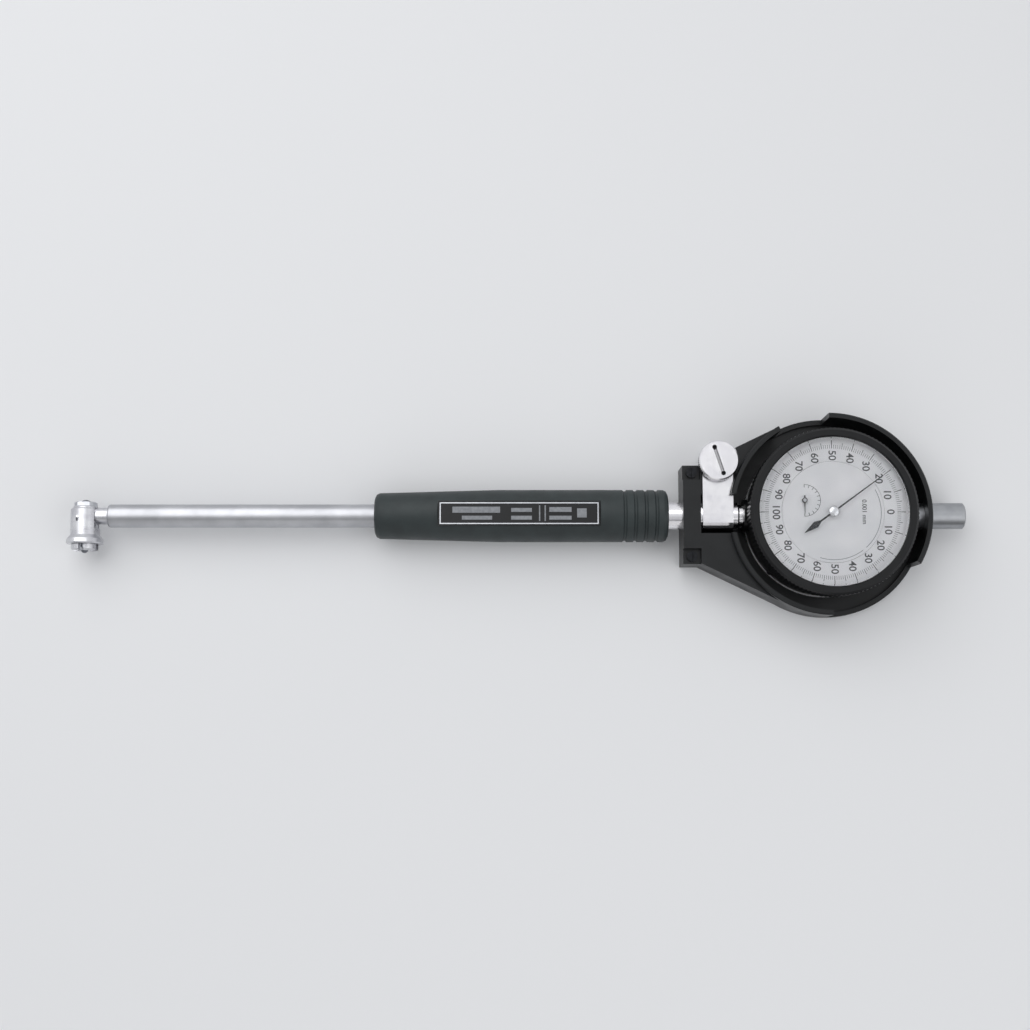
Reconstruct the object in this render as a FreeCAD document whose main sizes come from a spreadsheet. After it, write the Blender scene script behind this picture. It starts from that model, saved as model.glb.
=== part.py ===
"""Dial bore gauge for bores of 18 to 35 mm, lying on its back with the dial facing up.

Millimetres, +Z up. The gauge runs along X: measuring head at -X, dial indicator at +X, and the two
measuring contacts point along +Y and -Y. The origin is on the table, under the middle of the gauge.
Stations along the gauge are counted from the measuring axis, and levels from the axis of the tube.
"""
import FreeCAD, Part
import Sketcher
import math
import os
import re

X, Y, Z = (FreeCAD.Vector(*unit) for unit in ((1, 0, 0), (0, 1, 0), (0, 0, 1)))

# name, size, what it is
SIZES = (
    ("run_fit", 0.05, "radial clearance of what slides or turns"),
    ("snug_fit", 0.02, "radial clearance of what is pressed or screwed in"),
    ("edge", 0.4, "small chamfers"),
    ("stroke", 1.2, "travel of the contact point and of the guide"),
    ("touch_gap", 0.03, "play between the lever's noses and what they push"),
    # measuring head
    ("head_rad", 4.2, "head body radius"),
    ("head_top", 3.3, "head body above the tube axis"),
    ("head_foot", 7.4, "head body below the tube axis"),
    ("head_chamfer", 0.3, "edge of the head body"),
    ("contact_rad", 1.8, "contact point shank radius"),
    ("contact_nose", 1.15, "contact point radius beside the bell crank"),
    ("contact_out", 0.9, "contact point beyond the feet"),
    ("contact_ball", 1.3, "carbide tip radius"),
    ("lever_arm", 2.4, "each arm of the bell crank"),
    ("lever_nose", 0.6, "radius of each arm's nose"),
    ("lever_web", 0.4, "half of each arm's width"),
    ("lever_thick", 1.4, "bell crank thickness"),
    ("lever_hub", 1.0, "bell crank hub radius"),
    ("lever_pin", 0.5, "bell crank pin radius"),
    ("lever_play", 0.3, "room round the bell crank in its slot"),
    ("spring_room", 2.0, "depth of the counterbore for the guide spring"),
    ("spring_bore", 3.3, "radius of that counterbore"),
    ("anvil_rad", 3.9, "anvil collar radius"),
    ("anvil_collar", 1.4, "anvil collar height"),
    ("anvil_top", 5.6, "anvil's end above the tube axis"),
    ("anvil_tip", 1.5, "radius of the anvil's carbide end"),
    ("anvil_shank", 1.25, "anvil thread radius"),
    ("anvil_depth", 1.7, "anvil thread length"),
    ("anvil_flats", 6.6, "width across the anvil's spanner flats"),
    # guide
    ("guide_rad", 5.0, "guide sleeve radius"),
    ("guide_top", 2.5, "guide sleeve above the tube axis"),
    ("flange_rad", 6.3, "guide flange radius"),
    ("flange_top", 8.0, "flange's upper edge below the tube axis"),
    ("guide_gap", 0.15, "room left under the head when the guide is fully in"),
    ("guide_wall", 1.0, "guide end wall"),
    ("foot_tall", 2.2, "height of the guide's feet"),
    ("foot_in", 2.7, "inner radius of the feet"),
    ("foot_out", 4.6, "outer radius of the feet"),
    ("foot_gap", 2.0, "gap between the feet along the gauge"),
    ("foot_gate", 3.4, "gap between the feet across the gauge"),
    ("stop_rad", 0.5, "guide stop pin radius"),
    ("stop_side", 1.6, "guide stop pins beside the measuring axis"),
    ("stop_down", 0.5, "guide stop pins below the tube axis"),
    ("guide_wire", 0.4, "guide spring wire"),
    ("guide_coil", 2.75, "guide spring mean radius"),
    # tube, grip and push rod
    ("neck_rad", 2.9, "neck radius"),
    ("neck_hole", 1.3, "hole in the neck for the push rod"),
    ("spigot", 6.0, "length of the neck inside the tube"),
    ("tube_start", 8.0, "tube's end at the head"),
    ("tube_rad", 4.0, "tube radius"),
    ("tube_round", 0.7, "rounding of the tube's shoulder"),
    ("rod_tip", 1.22, "push rod radius in the neck"),
    ("rod_rad", 2.0, "push rod radius"),
    ("bush_len", 5.0, "length of each push rod bush"),
    ("bush_lead", 12.0, "tube's end to the front bush"),
    ("bush_gap", 5.0, "rear bush to the spring collar"),
    ("spring_len", 26.0, "push rod spring as fitted"),
    ("collar_len", 2.0, "spring collar length"),
    ("collar_rad", 2.75, "spring collar radius"),
    ("rod_wire", 0.5, "push rod spring wire"),
    ("rod_coil", 2.5, "push rod spring mean radius"),
    ("grip_start", 100.0, "station of the grip's front end"),
    ("grip_len", 100.5, "grip length"),
    ("grip_rad", 9.0, "grip radius, on which the gauge lies"),
    ("grip_front", 7.9, "grip radius at the front"),
    ("grip_swell", 42.0, "length of the grip's taper"),
    ("grip_round", 1.6, "rounding of the grip's ends"),
    ("groove_back", 15.5, "first ring groove before the grip's rear end"),
    ("groove_pitch", 3.6, "ring groove spacing"),
    ("groove_wide", 1.4, "ring groove width"),
    ("groove_deep", 0.45, "ring groove depth"),
    ("plate_start", 22.0, "nameplate behind the grip's front end"),
    ("plate_len", 55.0, "nameplate length"),
    ("plate_wide", 8.4, "nameplate width"),
    ("plate_thick", 0.5, "nameplate thickness"),
    ("plate_sink", 1.25, "flat under the nameplate below the grip's top"),
    ("plate_play", 0.3, "room round the nameplate"),
    # holder and clamp
    ("holder_rad", 4.75, "holder tube radius"),
    ("holder_out", 24.5, "holder tube that stands out of the grip"),
    ("holder_in", 20.5, "holder tube inside the grip"),
    ("socket_len", 8.0, "tube's length inside the holder"),
    ("seat_wall", 1.5, "spring seat inside the holder"),
    ("contact_bore", 3.2, "holder bore round the dial's contact"),
    ("holder_edge", 0.6, "chamfer of the holder's mouth"),
    ("slit_wide", 0.8, "slit in the holder tube"),
    ("slit_len", 19.0, "length of that slit"),
    ("clamp_gap", 11.8, "clamp behind the grip's rear end"),
    ("clamp_width", 10.4, "clamp width"),
    ("clamp_rad", 6.5, "clamp ring radius"),
    ("clamp_half", 5.8, "half of the clamp's height"),
    ("ear_gap", 1.0, "gap between the clamp's ears"),
    ("ear_round", 5.2, "radius of the ears' ends"),
    ("screw_side", 18.0, "clamp screw beside the tube axis"),
    ("screw_rad", 2.0, "clamp screw thread radius"),
    ("screw_len", 12.8, "clamp screw below its disc's boss"),
    ("boss_rad", 3.6, "boss under the thumb disc"),
    ("boss_tall", 0.8, "height of that boss"),
    ("disc_rad", 6.9, "thumb disc radius"),
    ("disc_thick", 3.4, "thumb disc thickness"),
    ("disc_edge", 0.5, "chamfer of the thumb disc"),
    ("coin_slot", 1.2, "coin slot width"),
    ("coin_deep", 0.9, "coin slot depth"),
    ("coin_hole", 0.8, "radius of the hole at each end of the slot"),
    ("coin_reach", 4.7, "those holes from the disc's centre"),
    ("knurl_teeth", 60, "teeth of the thumb disc's knurl"),
    ("coin_lean", 18.0, "lean of the coin slot in degrees"),
    # dial indicator
    ("stem_in", 14.5, "stem inside the holder"),
    ("case_rad", 27.0, "case radius"),
    ("case_wall", 2.2, "case wall"),
    ("case_lift", 2.0, "case's back edge above the table"),
    ("case_step", 6.4, "level of the bezel's seat"),
    ("deck_top", 9.2, "level of the case's front deck"),
    ("deck_thick", 1.0, "deck thickness"),
    ("hub_step", 1.4, "seat under the bezel"),
    ("cover_thick", 1.4, "back cover thickness"),
    ("cover_screw", 0.7, "back screw thread radius"),
    ("cover_screw_deep", 4.0, "back screws' depth in the case"),
    ("cover_head", 1.4, "back screw head radius"),
    ("stem_rad", 4.0, "stem radius"),
    ("stem_out", 10.4, "stem beyond the guard's rim"),
    ("stem_boss", 5.6, "radius of the case's bosses for stem and cap"),
    ("boss_out", 2.0, "height of those bosses"),
    ("spindle_rad", 2.0, "spindle radius"),
    ("spindle_out", 5.5, "spindle beyond the stem"),
    ("tail_rad", 1.4, "spindle tail radius"),
    ("tip_stub", 4.0, "contact beyond its knurled head"),
    ("tip_head", 3.0, "radius of the contact's knurled head"),
    ("tip_head_len", 4.5, "length of that head"),
    ("tip_ball", 1.5, "radius of the contact's ball"),
    ("cap_rad", 4.5, "top cap radius"),
    ("cap_out", 12.4, "top cap beyond the guard's rim"),
    ("cap_wall", 1.3, "top cap wall"),
    ("bush_rad", 3.0, "upper bush radius"),
    ("bush_out", 3.0, "upper bush beyond the case"),
    ("tail_wire", 0.4, "spindle spring wire"),
    ("tail_coil", 2.3, "spindle spring mean radius"),
    # movement
    ("rack_pitch", 0.625, "rack tooth spacing"),
    ("rack_line", 1.35, "rack's pitch line beside the spindle axis"),
    ("rack_turn", 12, "rack pinion teeth"),
    ("first_teeth", 60, "first wheel teeth"),
    ("first_leaves", 16, "counter pinion teeth"),
    ("first_module", 0.2, "tooth module of that pair"),
    ("second_teeth", 120, "second wheel and hairspring wheel teeth"),
    ("centre_leaves", 12, "centre pinion teeth"),
    ("counter_back", 9.6, "counter arbor towards the stem"),
    ("counter_side", 3.9, "counter arbor beside the spindle axis"),
    ("arbor_rad", 0.6, "arbor radius"),
    ("wheel_thick", 0.5, "wheel thickness"),
    ("plate_low", 2.3, "level of the lower movement plate"),
    ("movement_plate", 0.6, "movement plate thickness"),
    ("movement_gap", 2.4, "room round the movement plates"),
    ("post_in", 2.4, "posts inside the plates' edge"),
    ("post_rad", 1.5, "post radius"),
    ("post_screw", 0.7, "movement screw radius"),
    ("post_head", 1.5, "movement screw head radius"),
    ("post_head_tall", 0.8, "movement screw head height"),
    ("cock_half", 8.1, "half of the cock's span"),
    ("cock_wide", 3.0, "cock width"),
    ("pin_at", 13.0, "spindle pin beyond the dial's centre"),
    ("pin_rad", 0.6, "spindle pin radius"),
    ("pin_guide_near", 3.4, "spindle guide beside the spindle axis"),
    ("pin_guide_wide", 2.6, "spindle guide width"),
    ("pin_guide_wall", 1.4, "spindle guide wall round its slot"),
    # bezel and face
    ("bezel_proud", 1.5, "bezel outside the case"),
    ("bezel_deep", 3.9, "bezel's front above the face"),
    ("bezel_teeth", 120, "serrations round the bezel"),
    ("tooth_deep", 0.3, "depth of the serrations and of the knurl"),
    ("bezel_edge", 0.9, "chamfer of the bezel's front"),
    ("lip_wide", 0.8, "lip over the crystal's rim"),
    ("lip_thick", 0.8, "lip thickness"),
    ("glass_seat", 0.5, "crystal outside the hub"),
    ("glass_thick", 1.0, "crystal thickness"),
    ("glass_crown", 0.9, "crystal's crown above its rim"),
    ("face_gap", 1.9, "dial face above the deck"),
    ("face_thick", 0.4, "dial face thickness"),
    ("face_split", 17.3, "radius between the fixed disc and the scale ring"),
    ("split_gap", 0.1, "gap between them"),
    ("pointer_tip", 21.3, "long pointer's reach"),
    ("pointer_tail", 12.3, "long pointer's tail"),
    ("pointer_gap", 1.4, "long pointer above the face"),
    ("pointer_hub", 1.4, "long pointer's hub radius"),
    ("pointer_thick", 0.2, "pointer thickness"),
    ("pointer_turn", 36.0, "long pointer's angle from the axis in degrees"),
    ("small_tip", 4.6, "counter pointer's reach"),
    ("small_gap", 0.5, "counter pointer above the face"),
    # guard
    ("finger_room", 4.4, "gap between bezel and guard"),
    ("rim_wall", 1.7, "guard wall"),
    ("rim_top", 9.0, "level of the guard's rim"),
    ("floor_thick", 1.6, "guard floor"),
    ("floor_gap", 0.6, "gap between the case and the guard's floor"),
    ("neck_narrow", 17.0, "half of the neck's width at the bar"),
    ("bar_play", 0.8, "bar behind the clamp"),
    ("bar_deep", 6.0, "bar length along the tube"),
    ("web_top", 6.5, "level of the guard's front web"),
    ("web_thick", 1.8, "web thickness"),
    ("web_slot", 13.2, "slot in the web"),
    ("bar_hub", 11.8, "half of the bar's hub"),
    ("lug_top", -1.0, "level of the guard's lugs under the bar"),
    ("tab_top", 4.0, "level of the bar's tabs"),
    ("window_sill", 3.5, "height of the sill under the finger windows"),
    ("ear_room", 1.0, "room beside the clamp's ears in the guard"),
    ("guard_screw", 0.9, "guard screw radius"),
    ("guard_head", 1.8, "guard screw head radius"),
    ("guard_head_tall", 1.3, "guard screw head height"),
    ("guard_screw_deep", 5.0, "guard screws' depth in the lugs"),
)

# places and sizes that follow from the ones above
FOLLOWS = (
    ("axis_height", "grip_rad"),
    ("plate_seat", "grip_rad - plate_sink"),
    ("hub_rad", "case_rad - hub_step"),
    ("glass_rad", "hub_rad + glass_seat"),
    ("bezel_lip", "glass_rad - lip_wide"),
    ("bezel_rad", "case_rad + bezel_proud"),
    ("rim_rad", "bezel_rad + finger_room + rim_wall"),
    ("floor_hole", "case_rad + floor_gap"),
    ("stem_reach", "rim_rad + stem_out"),
    ("spindle_reach", "stem_reach + spindle_out"),
    ("tip_reach", "spindle_reach + tip_head_len + tip_stub"),
    ("cap_reach", "rim_rad + cap_out"),
    ("bush_reach", "case_rad + bush_out"),
    ("grip_end", "grip_start + grip_len"),
    ("holder_end", "grip_end + holder_out"),
    ("seat_at", "grip_end - holder_in + socket_len"),
    ("collar_at", "seat_at - spring_len - collar_len"),
    ("bush_first", "tube_start + bush_lead"),
    ("bush_second", "collar_at - bush_gap - bush_len"),
    ("clamp_start", "grip_end + clamp_gap"),
    ("clamp_mid", "clamp_start + clamp_width/2"),
    ("dial_at", "holder_end + stem_reach - stem_in"),
    ("gauge_x", "(flange_rad - dial_at - cap_reach)/2"),
    ("dial_x", "gauge_x + dial_at"),
    ("guide_floor", "head_foot + stroke + guide_gap"),
    ("guide_end", "guide_floor + guide_wall"),
    ("foot_tip", "guide_end + foot_tall"),
    ("contact_tip", "foot_tip + contact_out"),
    ("case_back", "axis_height - case_lift"),
    ("movement_rad", "case_rad - case_wall - movement_gap"),
    ("post_circle", "movement_rad - post_in"),
    ("face_level", "deck_top + face_gap"),
    ("pointer_level", "face_level + pointer_gap"),
    ("small_level", "face_level + small_gap"),
    ("bezel_top", "face_level + bezel_deep"),
    ("neck_back", "rim_rad/2"),
    ("neck_wide", "sqrt(rim_rad^2 - neck_back^2) - run_fit"),
    ("bar_near", "dial_at - clamp_start + bar_play"),
    ("guard_screw_side", "(neck_narrow + bar_hub)/2"),
    ("lever_lean", "asin(stroke/2/lever_arm)"),
    ("contact_top", "lever_arm + stroke/2 + lever_nose + touch_gap"),
    ("rod_start", "lever_arm - stroke/2 + lever_nose + touch_gap"),
    ("neck_end", "tube_start + spigot"),
    ("tube_bore", "neck_rad + snug_fit"),
    ("rack_rad", "rack_turn*rack_pitch/6.283185307"),
    ("first_side", "-rack_line - rack_rad"),
    ("first_centres", "(first_teeth + first_leaves)*first_module/2"),
    ("first_back", "counter_back + sqrt(first_centres^2 - (counter_side - first_side)^2)"),
    ("counter_out", "sqrt(counter_back^2 + counter_side^2)"),
    ("second_module", "2*counter_out/(second_teeth + centre_leaves)"),
    ("plate_mid", "plate_low + movement_plate"),
    ("deck_low", "deck_top - deck_thick"),
    ("plate_high", "deck_low - movement_plate"),
    ("glass_top", "bezel_top - lip_thick"),
    ("glass_low", "glass_top - glass_thick"),
    ("face_low", "face_level - face_thick"),
    ("bar_far", "bar_near + bar_deep"),
    ("floor_top", "floor_thick - axis_height"),
    ("web_low", "web_top - web_thick"),
    ("guard_screw_at", "bar_near + bar_deep/2"),
)

doc = FreeCAD.newDocument("DialBoreGauge")
sheet = doc.addObject("Spreadsheet::Sheet", "Sizes")
for row, (name, size, meaning) in enumerate(SIZES, start=1):
    sheet.set(f"A{row}", meaning)
    sheet.set(f"B{row}", str(size))
    sheet.setAlias(f"B{row}", name)
for row, (name, rule) in enumerate(FOLLOWS, start=len(SIZES) + 1):
    sheet.set(f"A{row}", name)
    sheet.set(f"B{row}", "=" + rule)
    sheet.setAlias(f"B{row}", name)
doc.recompute()

NAMES = {row[0] for row in SIZES} | {row[0] for row in FOLLOWS}
GAUGE = ("gauge_x", "0", "axis_height")
DIAL = ("dial_x", "0", "axis_height")
NODES = []


def bound(rule):
    """The rule as an expression on the sheet."""
    return re.sub(r"[a-z_]\w*", lambda word: "Sizes." + word[0] if word[0] in NAMES else word[0], rule)


def size(rule):
    """The rule's value now, for shapes made in code."""
    worked = sheet.evalExpression(bound(rule))
    return float(getattr(worked, "Value", worked))


def add(kind, name):
    return doc.addObject(kind, name)


def node(label, piece):
    """Marks a finished sub-part, which is written to its own file."""
    piece.Label = label
    NODES.append(piece)
    return piece


def place(piece, frame, offsets, turn=None):
    """Puts a piece in the gauge's or the dial's frame, at offsets that stay tied to the sheet."""
    if turn is not None:
        piece.Placement = FreeCAD.Placement(FreeCAD.Vector(), turn)
    for letter, start, offset in zip("xyz", frame, offsets):
        piece.setExpression(f"Placement.Base.{letter}", bound(f"{start} + {offset}"))
    return piece


def profile(body, name, role, corners):
    """A closed outline of straight sides, each corner tied to the sheet."""
    sketch = body.newObject("Sketcher::SketchObject", name)
    plane = next(feature for feature in body.Origin.OriginFeatures if feature.Role == role)
    sketch.AttachmentSupport = [(plane, "")]
    sketch.MapMode = "FlatFace"
    points = [FreeCAD.Vector(size(along), size(out), 0) for along, out in corners]
    for index, point in enumerate(points):
        sketch.addGeometry(Part.LineSegment(point, points[(index + 1) % len(points)]), False)
    for index in range(len(points)):
        sketch.addConstraint(Sketcher.Constraint("Coincident", index, 2, (index + 1) % len(points), 1))
    for index, corner in enumerate(corners):
        for kind, rule in zip(("DistanceX", "DistanceY"), corner):
            held = sketch.addConstraint(Sketcher.Constraint(kind, -1, 1, index, 1, size(rule)))
            sketch.setExpression(f"Constraints[{held}]", bound(rule))
    return sketch


TURNS = {"X": FreeCAD.Rotation(), "Y": FreeCAD.Rotation(Z, 90), "Z": FreeCAD.Rotation(Y, -90)}
LENGTHS = {"X": FreeCAD.Rotation(Y, 90), "Y": FreeCAD.Rotation(X, -90), "Z": FreeCAD.Rotation()}


def turned(name, axis, frame, corners, across=("0", "0")):
    """A piece turned about a line along axis; corners are (station, radius)."""
    body = add("PartDesign::Body", name)
    sketch = profile(body, name + "_profile", "XY_Plane", corners)
    turning = body.newObject("PartDesign::Revolution", name + "_turning")
    turning.Profile = sketch
    turning.ReferenceAxis = (sketch, ["H_Axis"])
    turning.Angle = 360
    offsets = {"X": ("0",) + across, "Y": (across[0], "0", across[1]), "Z": across + ("0",)}[axis]
    return place(body, frame, offsets, TURNS[axis])


def slab(name, frame, corners, low, high):
    """A flat piece with straight sides between two levels."""
    body = add("PartDesign::Body", name)
    pad = body.newObject("PartDesign::Pad", name + "_pad")
    pad.Profile = profile(body, name + "_outline", "XY_Plane", corners)
    pad.setExpression("Length", bound(f"{high} - ({low})"))
    body.Tip = pad
    return place(body, frame, ("0", "0", low))


def cylinder(name, axis, frame, radius, start, end, across=("0", "0"), sector=360, first=0):
    """A cylinder along axis from start to end; across is its place on the other two axes."""
    piece = add("Part::Cylinder", name)
    piece.setExpression("Radius", bound(radius))
    piece.setExpression("Height", bound(f"{end} - ({start})"))
    piece.Angle = sector
    offsets = {"X": (start,) + across, "Y": (across[0], start, across[1]), "Z": across + (start,)}[axis]
    return place(piece, frame, offsets, LENGTHS[axis].multiply(FreeCAD.Rotation(Z, first)))


def box(name, frame, *spans):
    """A box; spans are its (start, end) along X, Y and Z."""
    piece = add("Part::Box", name)
    for side, (start, end) in zip(("Length", "Width", "Height"), spans):
        piece.setExpression(side, bound(f"{end} - ({start})"))
    return place(piece, frame, [start for start, end in spans])


def ball(name, frame, radius, offsets):
    piece = add("Part::Sphere", name)
    piece.setExpression("Radius", bound(radius))
    return place(piece, frame, offsets)


def fuse(name, *pieces, refine=True):
    joined = add("Part::MultiFuse", name)
    joined.Shapes = list(pieces)
    joined.Refine = refine
    return joined


def cut(name, base, *tools):
    left = add("Part::Cut", name)
    left.Base = base
    left.Tool = tools[0] if len(tools) == 1 else fuse(name + "_tools", *tools, refine=False)
    return left


def common(name, base, tool):
    kept = add("Part::Common", name)
    kept.Base = base
    kept.Tool = tool
    return kept


def shaped(name, shape, frame, offsets=("0", "0", "0")):
    """A shape made in code, at a place tied to the sheet."""
    piece = add("Part::Feature", name)
    piece.Shape = shape
    return place(piece, frame, offsets)


def prism(points, low, high):
    """A straight-sided solid from a list of (x, y)."""
    wire = Part.makePolygon([FreeCAD.Vector(x, y, low) for x, y in points + points[:1]])
    return Part.Face(wire).extrude(FreeCAD.Vector(0, 0, high - low))


def serrated(radius, deep, teeth, low, high):
    """A round bar with pointed teeth all round it, to be kept in common with a turned piece."""
    points = []
    for tooth in range(teeth):
        for share, out in ((0, radius - deep), (0.35, radius + 0.01), (0.65, radius + 0.01)):
            angle = 2 * math.pi * (tooth + share) / teeth
            points.append((out * math.cos(angle), out * math.sin(angle)))
    return prism(points, low, high)


def coil(radius, wire, length, turns):
    """A compression spring of square wire along +Z; its first turn's middle is at the origin."""
    rise = length - wire
    half = wire / 2
    helix = Part.makeHelix(rise / turns, rise, radius)
    corners = [FreeCAD.Vector(radius + a * half, 0, b * half)
               for a, b in ((-1, -1), (1, -1), (1, 1), (-1, 1), (-1, -1))]
    return Part.Wire(helix).makePipeShell([Part.makePolygon(corners)], True, True)


def gear_outline(teeth, module, phase):
    """Straight-flanked teeth with backlash; phase is the angle of one tooth's middle, in radians."""
    pitch_rad = teeth * module / 2
    tip, root = pitch_rad + 0.85 * module, pitch_rad - 1.2 * module
    points = []
    for tooth in range(teeth):
        middle = phase + 2 * math.pi * tooth / teeth
        for radius, half in ((root, 1.05 * module), (tip, 0.32 * module),
                             (tip, -0.32 * module), (root, -1.05 * module)):
            angle = middle - half / radius
            points.append((radius * math.cos(angle), radius * math.sin(angle)))
    return points


# measuring head: one turned and drilled body whose neck carries it on the tube
head_block = turned("head_block", "Y", GAUGE, [
    ("-head_foot", "0"), ("-head_foot", "head_rad"), ("head_top - head_chamfer", "head_rad"),
    ("head_top", "head_rad - head_chamfer"), ("head_top", "0")])
head_neck = cylinder("head_neck", "X", GAUGE, "neck_rad", "head_rad/2", "neck_end")
lever_slot = box("lever_slot", GAUGE,
                 ("-lever_nose - lever_play", "lever_arm + stroke/2 + lever_nose + 0.15"),
                 ("-contact_top - lever_play", "lever_nose + lever_play"),
                 ("-lever_thick/2 - run_fit", "lever_thick/2 + run_fit"))
node("measuring_head", cut(
    "head_drilled", fuse("head_forging", head_block, head_neck), lever_slot,
    cylinder("head_contact_bore", "Y", GAUGE, "contact_rad + run_fit", "-head_foot - 1",
             "-contact_top + stroke + lever_play"),
    cylinder("head_spring_bore", "Y", GAUGE, "spring_bore", "-head_foot - 1", "-head_foot + spring_room"),
    cylinder("head_rod_hole", "X", GAUGE, "neck_hole", "0", "neck_end + 1"),
    cylinder("head_anvil_hole", "Y", GAUGE, "anvil_shank + snug_fit", "head_top - anvil_depth", "head_top + 1"),
    cylinder("head_pin_hole", "Z", GAUGE, "lever_pin + snug_fit", "-head_rad", "head_rad",
             ("lever_arm", "-lever_arm")),
    cylinder("head_stop_hole", "Z", GAUGE, "stop_rad + snug_fit", "-head_rad - 1", "head_rad + 1",
             ("-stop_side", "-stop_down"))))

node("bell_crank_pin", cylinder(
    "bell_crank_pin", "Z", GAUGE, "lever_pin", "-sqrt(head_rad^2 - (lever_arm + lever_pin)^2)",
    "sqrt(head_rad^2 - (lever_arm + lever_pin)^2)", ("lever_arm", "-lever_arm")))

# anvil: a screwed stud with two spanner flats and a domed carbide end
anvil_stud = turned("anvil_stud", "Y", GAUGE, [
    ("head_top - anvil_depth", "0"), ("head_top - anvil_depth", "anvil_shank"),
    ("head_top", "anvil_shank"), ("head_top", "anvil_rad"),
    ("head_top + anvil_collar - head_chamfer", "anvil_rad"),
    ("head_top + anvil_collar", "anvil_rad - head_chamfer"), ("head_top + anvil_collar", "anvil_tip"),
    ("anvil_top - anvil_tip*0.3", "anvil_tip*0.95"), ("anvil_top - anvil_tip*0.1", "anvil_tip*0.6"),
    ("anvil_top", "anvil_tip*0.2"), ("anvil_top", "0")])
node("anvil", cut(
    "anvil_flatted", anvil_stud,
    *[box(f"anvil_flat_{side}", GAUGE, ("-anvil_rad", "anvil_rad"),
          ("head_top", "head_top + anvil_collar + 0.01"), span)
      for side, span in enumerate((("anvil_flats/2", "anvil_rad + 1"), ("-anvil_rad - 1", "-anvil_flats/2")))]))

# contact point: a ground shank with a carbide ball end
contact_shank = turned("contact_shank", "Y", GAUGE, [
    ("-contact_top", "0"), ("-contact_top", "contact_nose*0.7"), ("-contact_top - 0.4", "contact_nose"),
    ("-contact_top - stroke - 0.4", "contact_nose"), ("-contact_top - stroke - 0.4", "contact_rad"),
    ("-contact_tip + contact_ball + 0.6", "contact_rad"),
    ("-contact_tip + contact_ball", "contact_ball"), ("-contact_tip + contact_ball", "0")])
node("contact_point", fuse("contact_point", contact_shank,
                           ball("contact_tip", GAUGE, "contact_ball", ("0", "-contact_tip + contact_ball", "0"))))

# bell crank: two equal arms, so the push rod moves as far as the contact point
AT_REST = ("0", "0", "0")
lever_parts = [
    cylinder("lever_hub", "Z", AT_REST, "lever_hub", "-lever_thick/2", "lever_thick/2"),
    box("lever_arm_low", AT_REST, ("-lever_arm", "0"), ("-lever_web", "lever_web"),
        ("-lever_thick/2", "lever_thick/2")),
    box("lever_arm_high", AT_REST, ("-lever_web", "lever_web"), ("0", "lever_arm"),
        ("-lever_thick/2", "lever_thick/2")),
    cylinder("lever_nose_low", "Z", AT_REST, "lever_nose", "-lever_thick/2", "lever_thick/2",
             ("-lever_arm", "0")),
    cylinder("lever_nose_high", "Z", AT_REST, "lever_nose", "-lever_thick/2", "lever_thick/2",
             ("0", "lever_arm")),
]
bell_crank = node("bell_crank", cut(
    "bell_crank", fuse("lever_blank", *lever_parts),
    cylinder("lever_hole", "Z", AT_REST, "lever_pin + run_fit", "-lever_thick", "lever_thick")))
place(bell_crank, GAUGE, ("lever_arm", "-lever_arm", "0"), FreeCAD.Rotation(Z, size("lever_lean")))

# guide: a sleeve that slides on the head and stands on four small feet beside the contact point
guide_turning = turned("guide_turning", "Y", GAUGE, [
    ("guide_top", "head_rad + run_fit"), ("guide_top", "guide_rad - edge"), ("guide_top - edge", "guide_rad"),
    ("-flange_top + flange_rad - guide_rad", "guide_rad"), ("-flange_top", "flange_rad - edge/2"),
    ("-guide_end + edge", "flange_rad"), ("-guide_end", "flange_rad - edge"), ("-guide_end", "foot_out"),
    ("-foot_tip + edge", "foot_out"), ("-foot_tip", "foot_out - edge"), ("-foot_tip", "foot_in + edge"),
    ("-foot_tip + edge", "foot_in"), ("-guide_end", "foot_in"), ("-guide_end", "contact_rad + 2*run_fit"),
    ("-guide_floor", "contact_rad + 2*run_fit"), ("-guide_floor", "head_rad + run_fit")])
neck_slot = box("neck_slot", GAUGE, ("0", "flange_rad + 1"),
                ("-neck_rad - stroke - lever_play", "guide_top + 1"),
                ("-neck_rad - lever_play", "neck_rad + lever_play"))
foot_gap_along = box("foot_gap_along", GAUGE, ("-foot_gap/2", "foot_gap/2"),
                     ("-foot_tip - 1", "-guide_end"), ("-flange_rad", "flange_rad"))
foot_gap_across = box("foot_gap_across", GAUGE, ("-flange_rad", "flange_rad"),
                      ("-foot_tip - 1", "-guide_end"), ("-foot_gate/2", "foot_gate/2"))
stop_slot = fuse("stop_slot", *[
    box("stop_slot_middle", GAUGE, ("-stop_side - stop_rad - run_fit", "-stop_side + stop_rad + run_fit"),
        ("-stop_down - stroke", "-stop_down"), ("-guide_rad - 1", "guide_rad + 1"))] + [
    cylinder(f"stop_slot_end_{end}", "Z", GAUGE, "stop_rad + run_fit", "-guide_rad - 1", "guide_rad + 1",
             ("-stop_side", level)) for end, level in enumerate(("-stop_down", "-stop_down - stroke"))])
node("guide", cut("guide", guide_turning, neck_slot, foot_gap_along, foot_gap_across, stop_slot))

node("guide_stop_pin", cylinder("guide_stop_pin", "Z", GAUGE, "stop_rad", "-guide_rad + edge",
                                "guide_rad - edge", ("-stop_side", "-stop_down")))

guide_coil = coil(size("guide_coil"), size("guide_wire"), size("guide_floor - head_foot + spring_room"), 3)
guide_spring = node("guide_spring", shaped("guide_spring", guide_coil, GAUGE))
place(guide_spring, GAUGE, ("0", "-guide_floor + guide_wire/2", "0"), LENGTHS["Y"])

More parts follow.
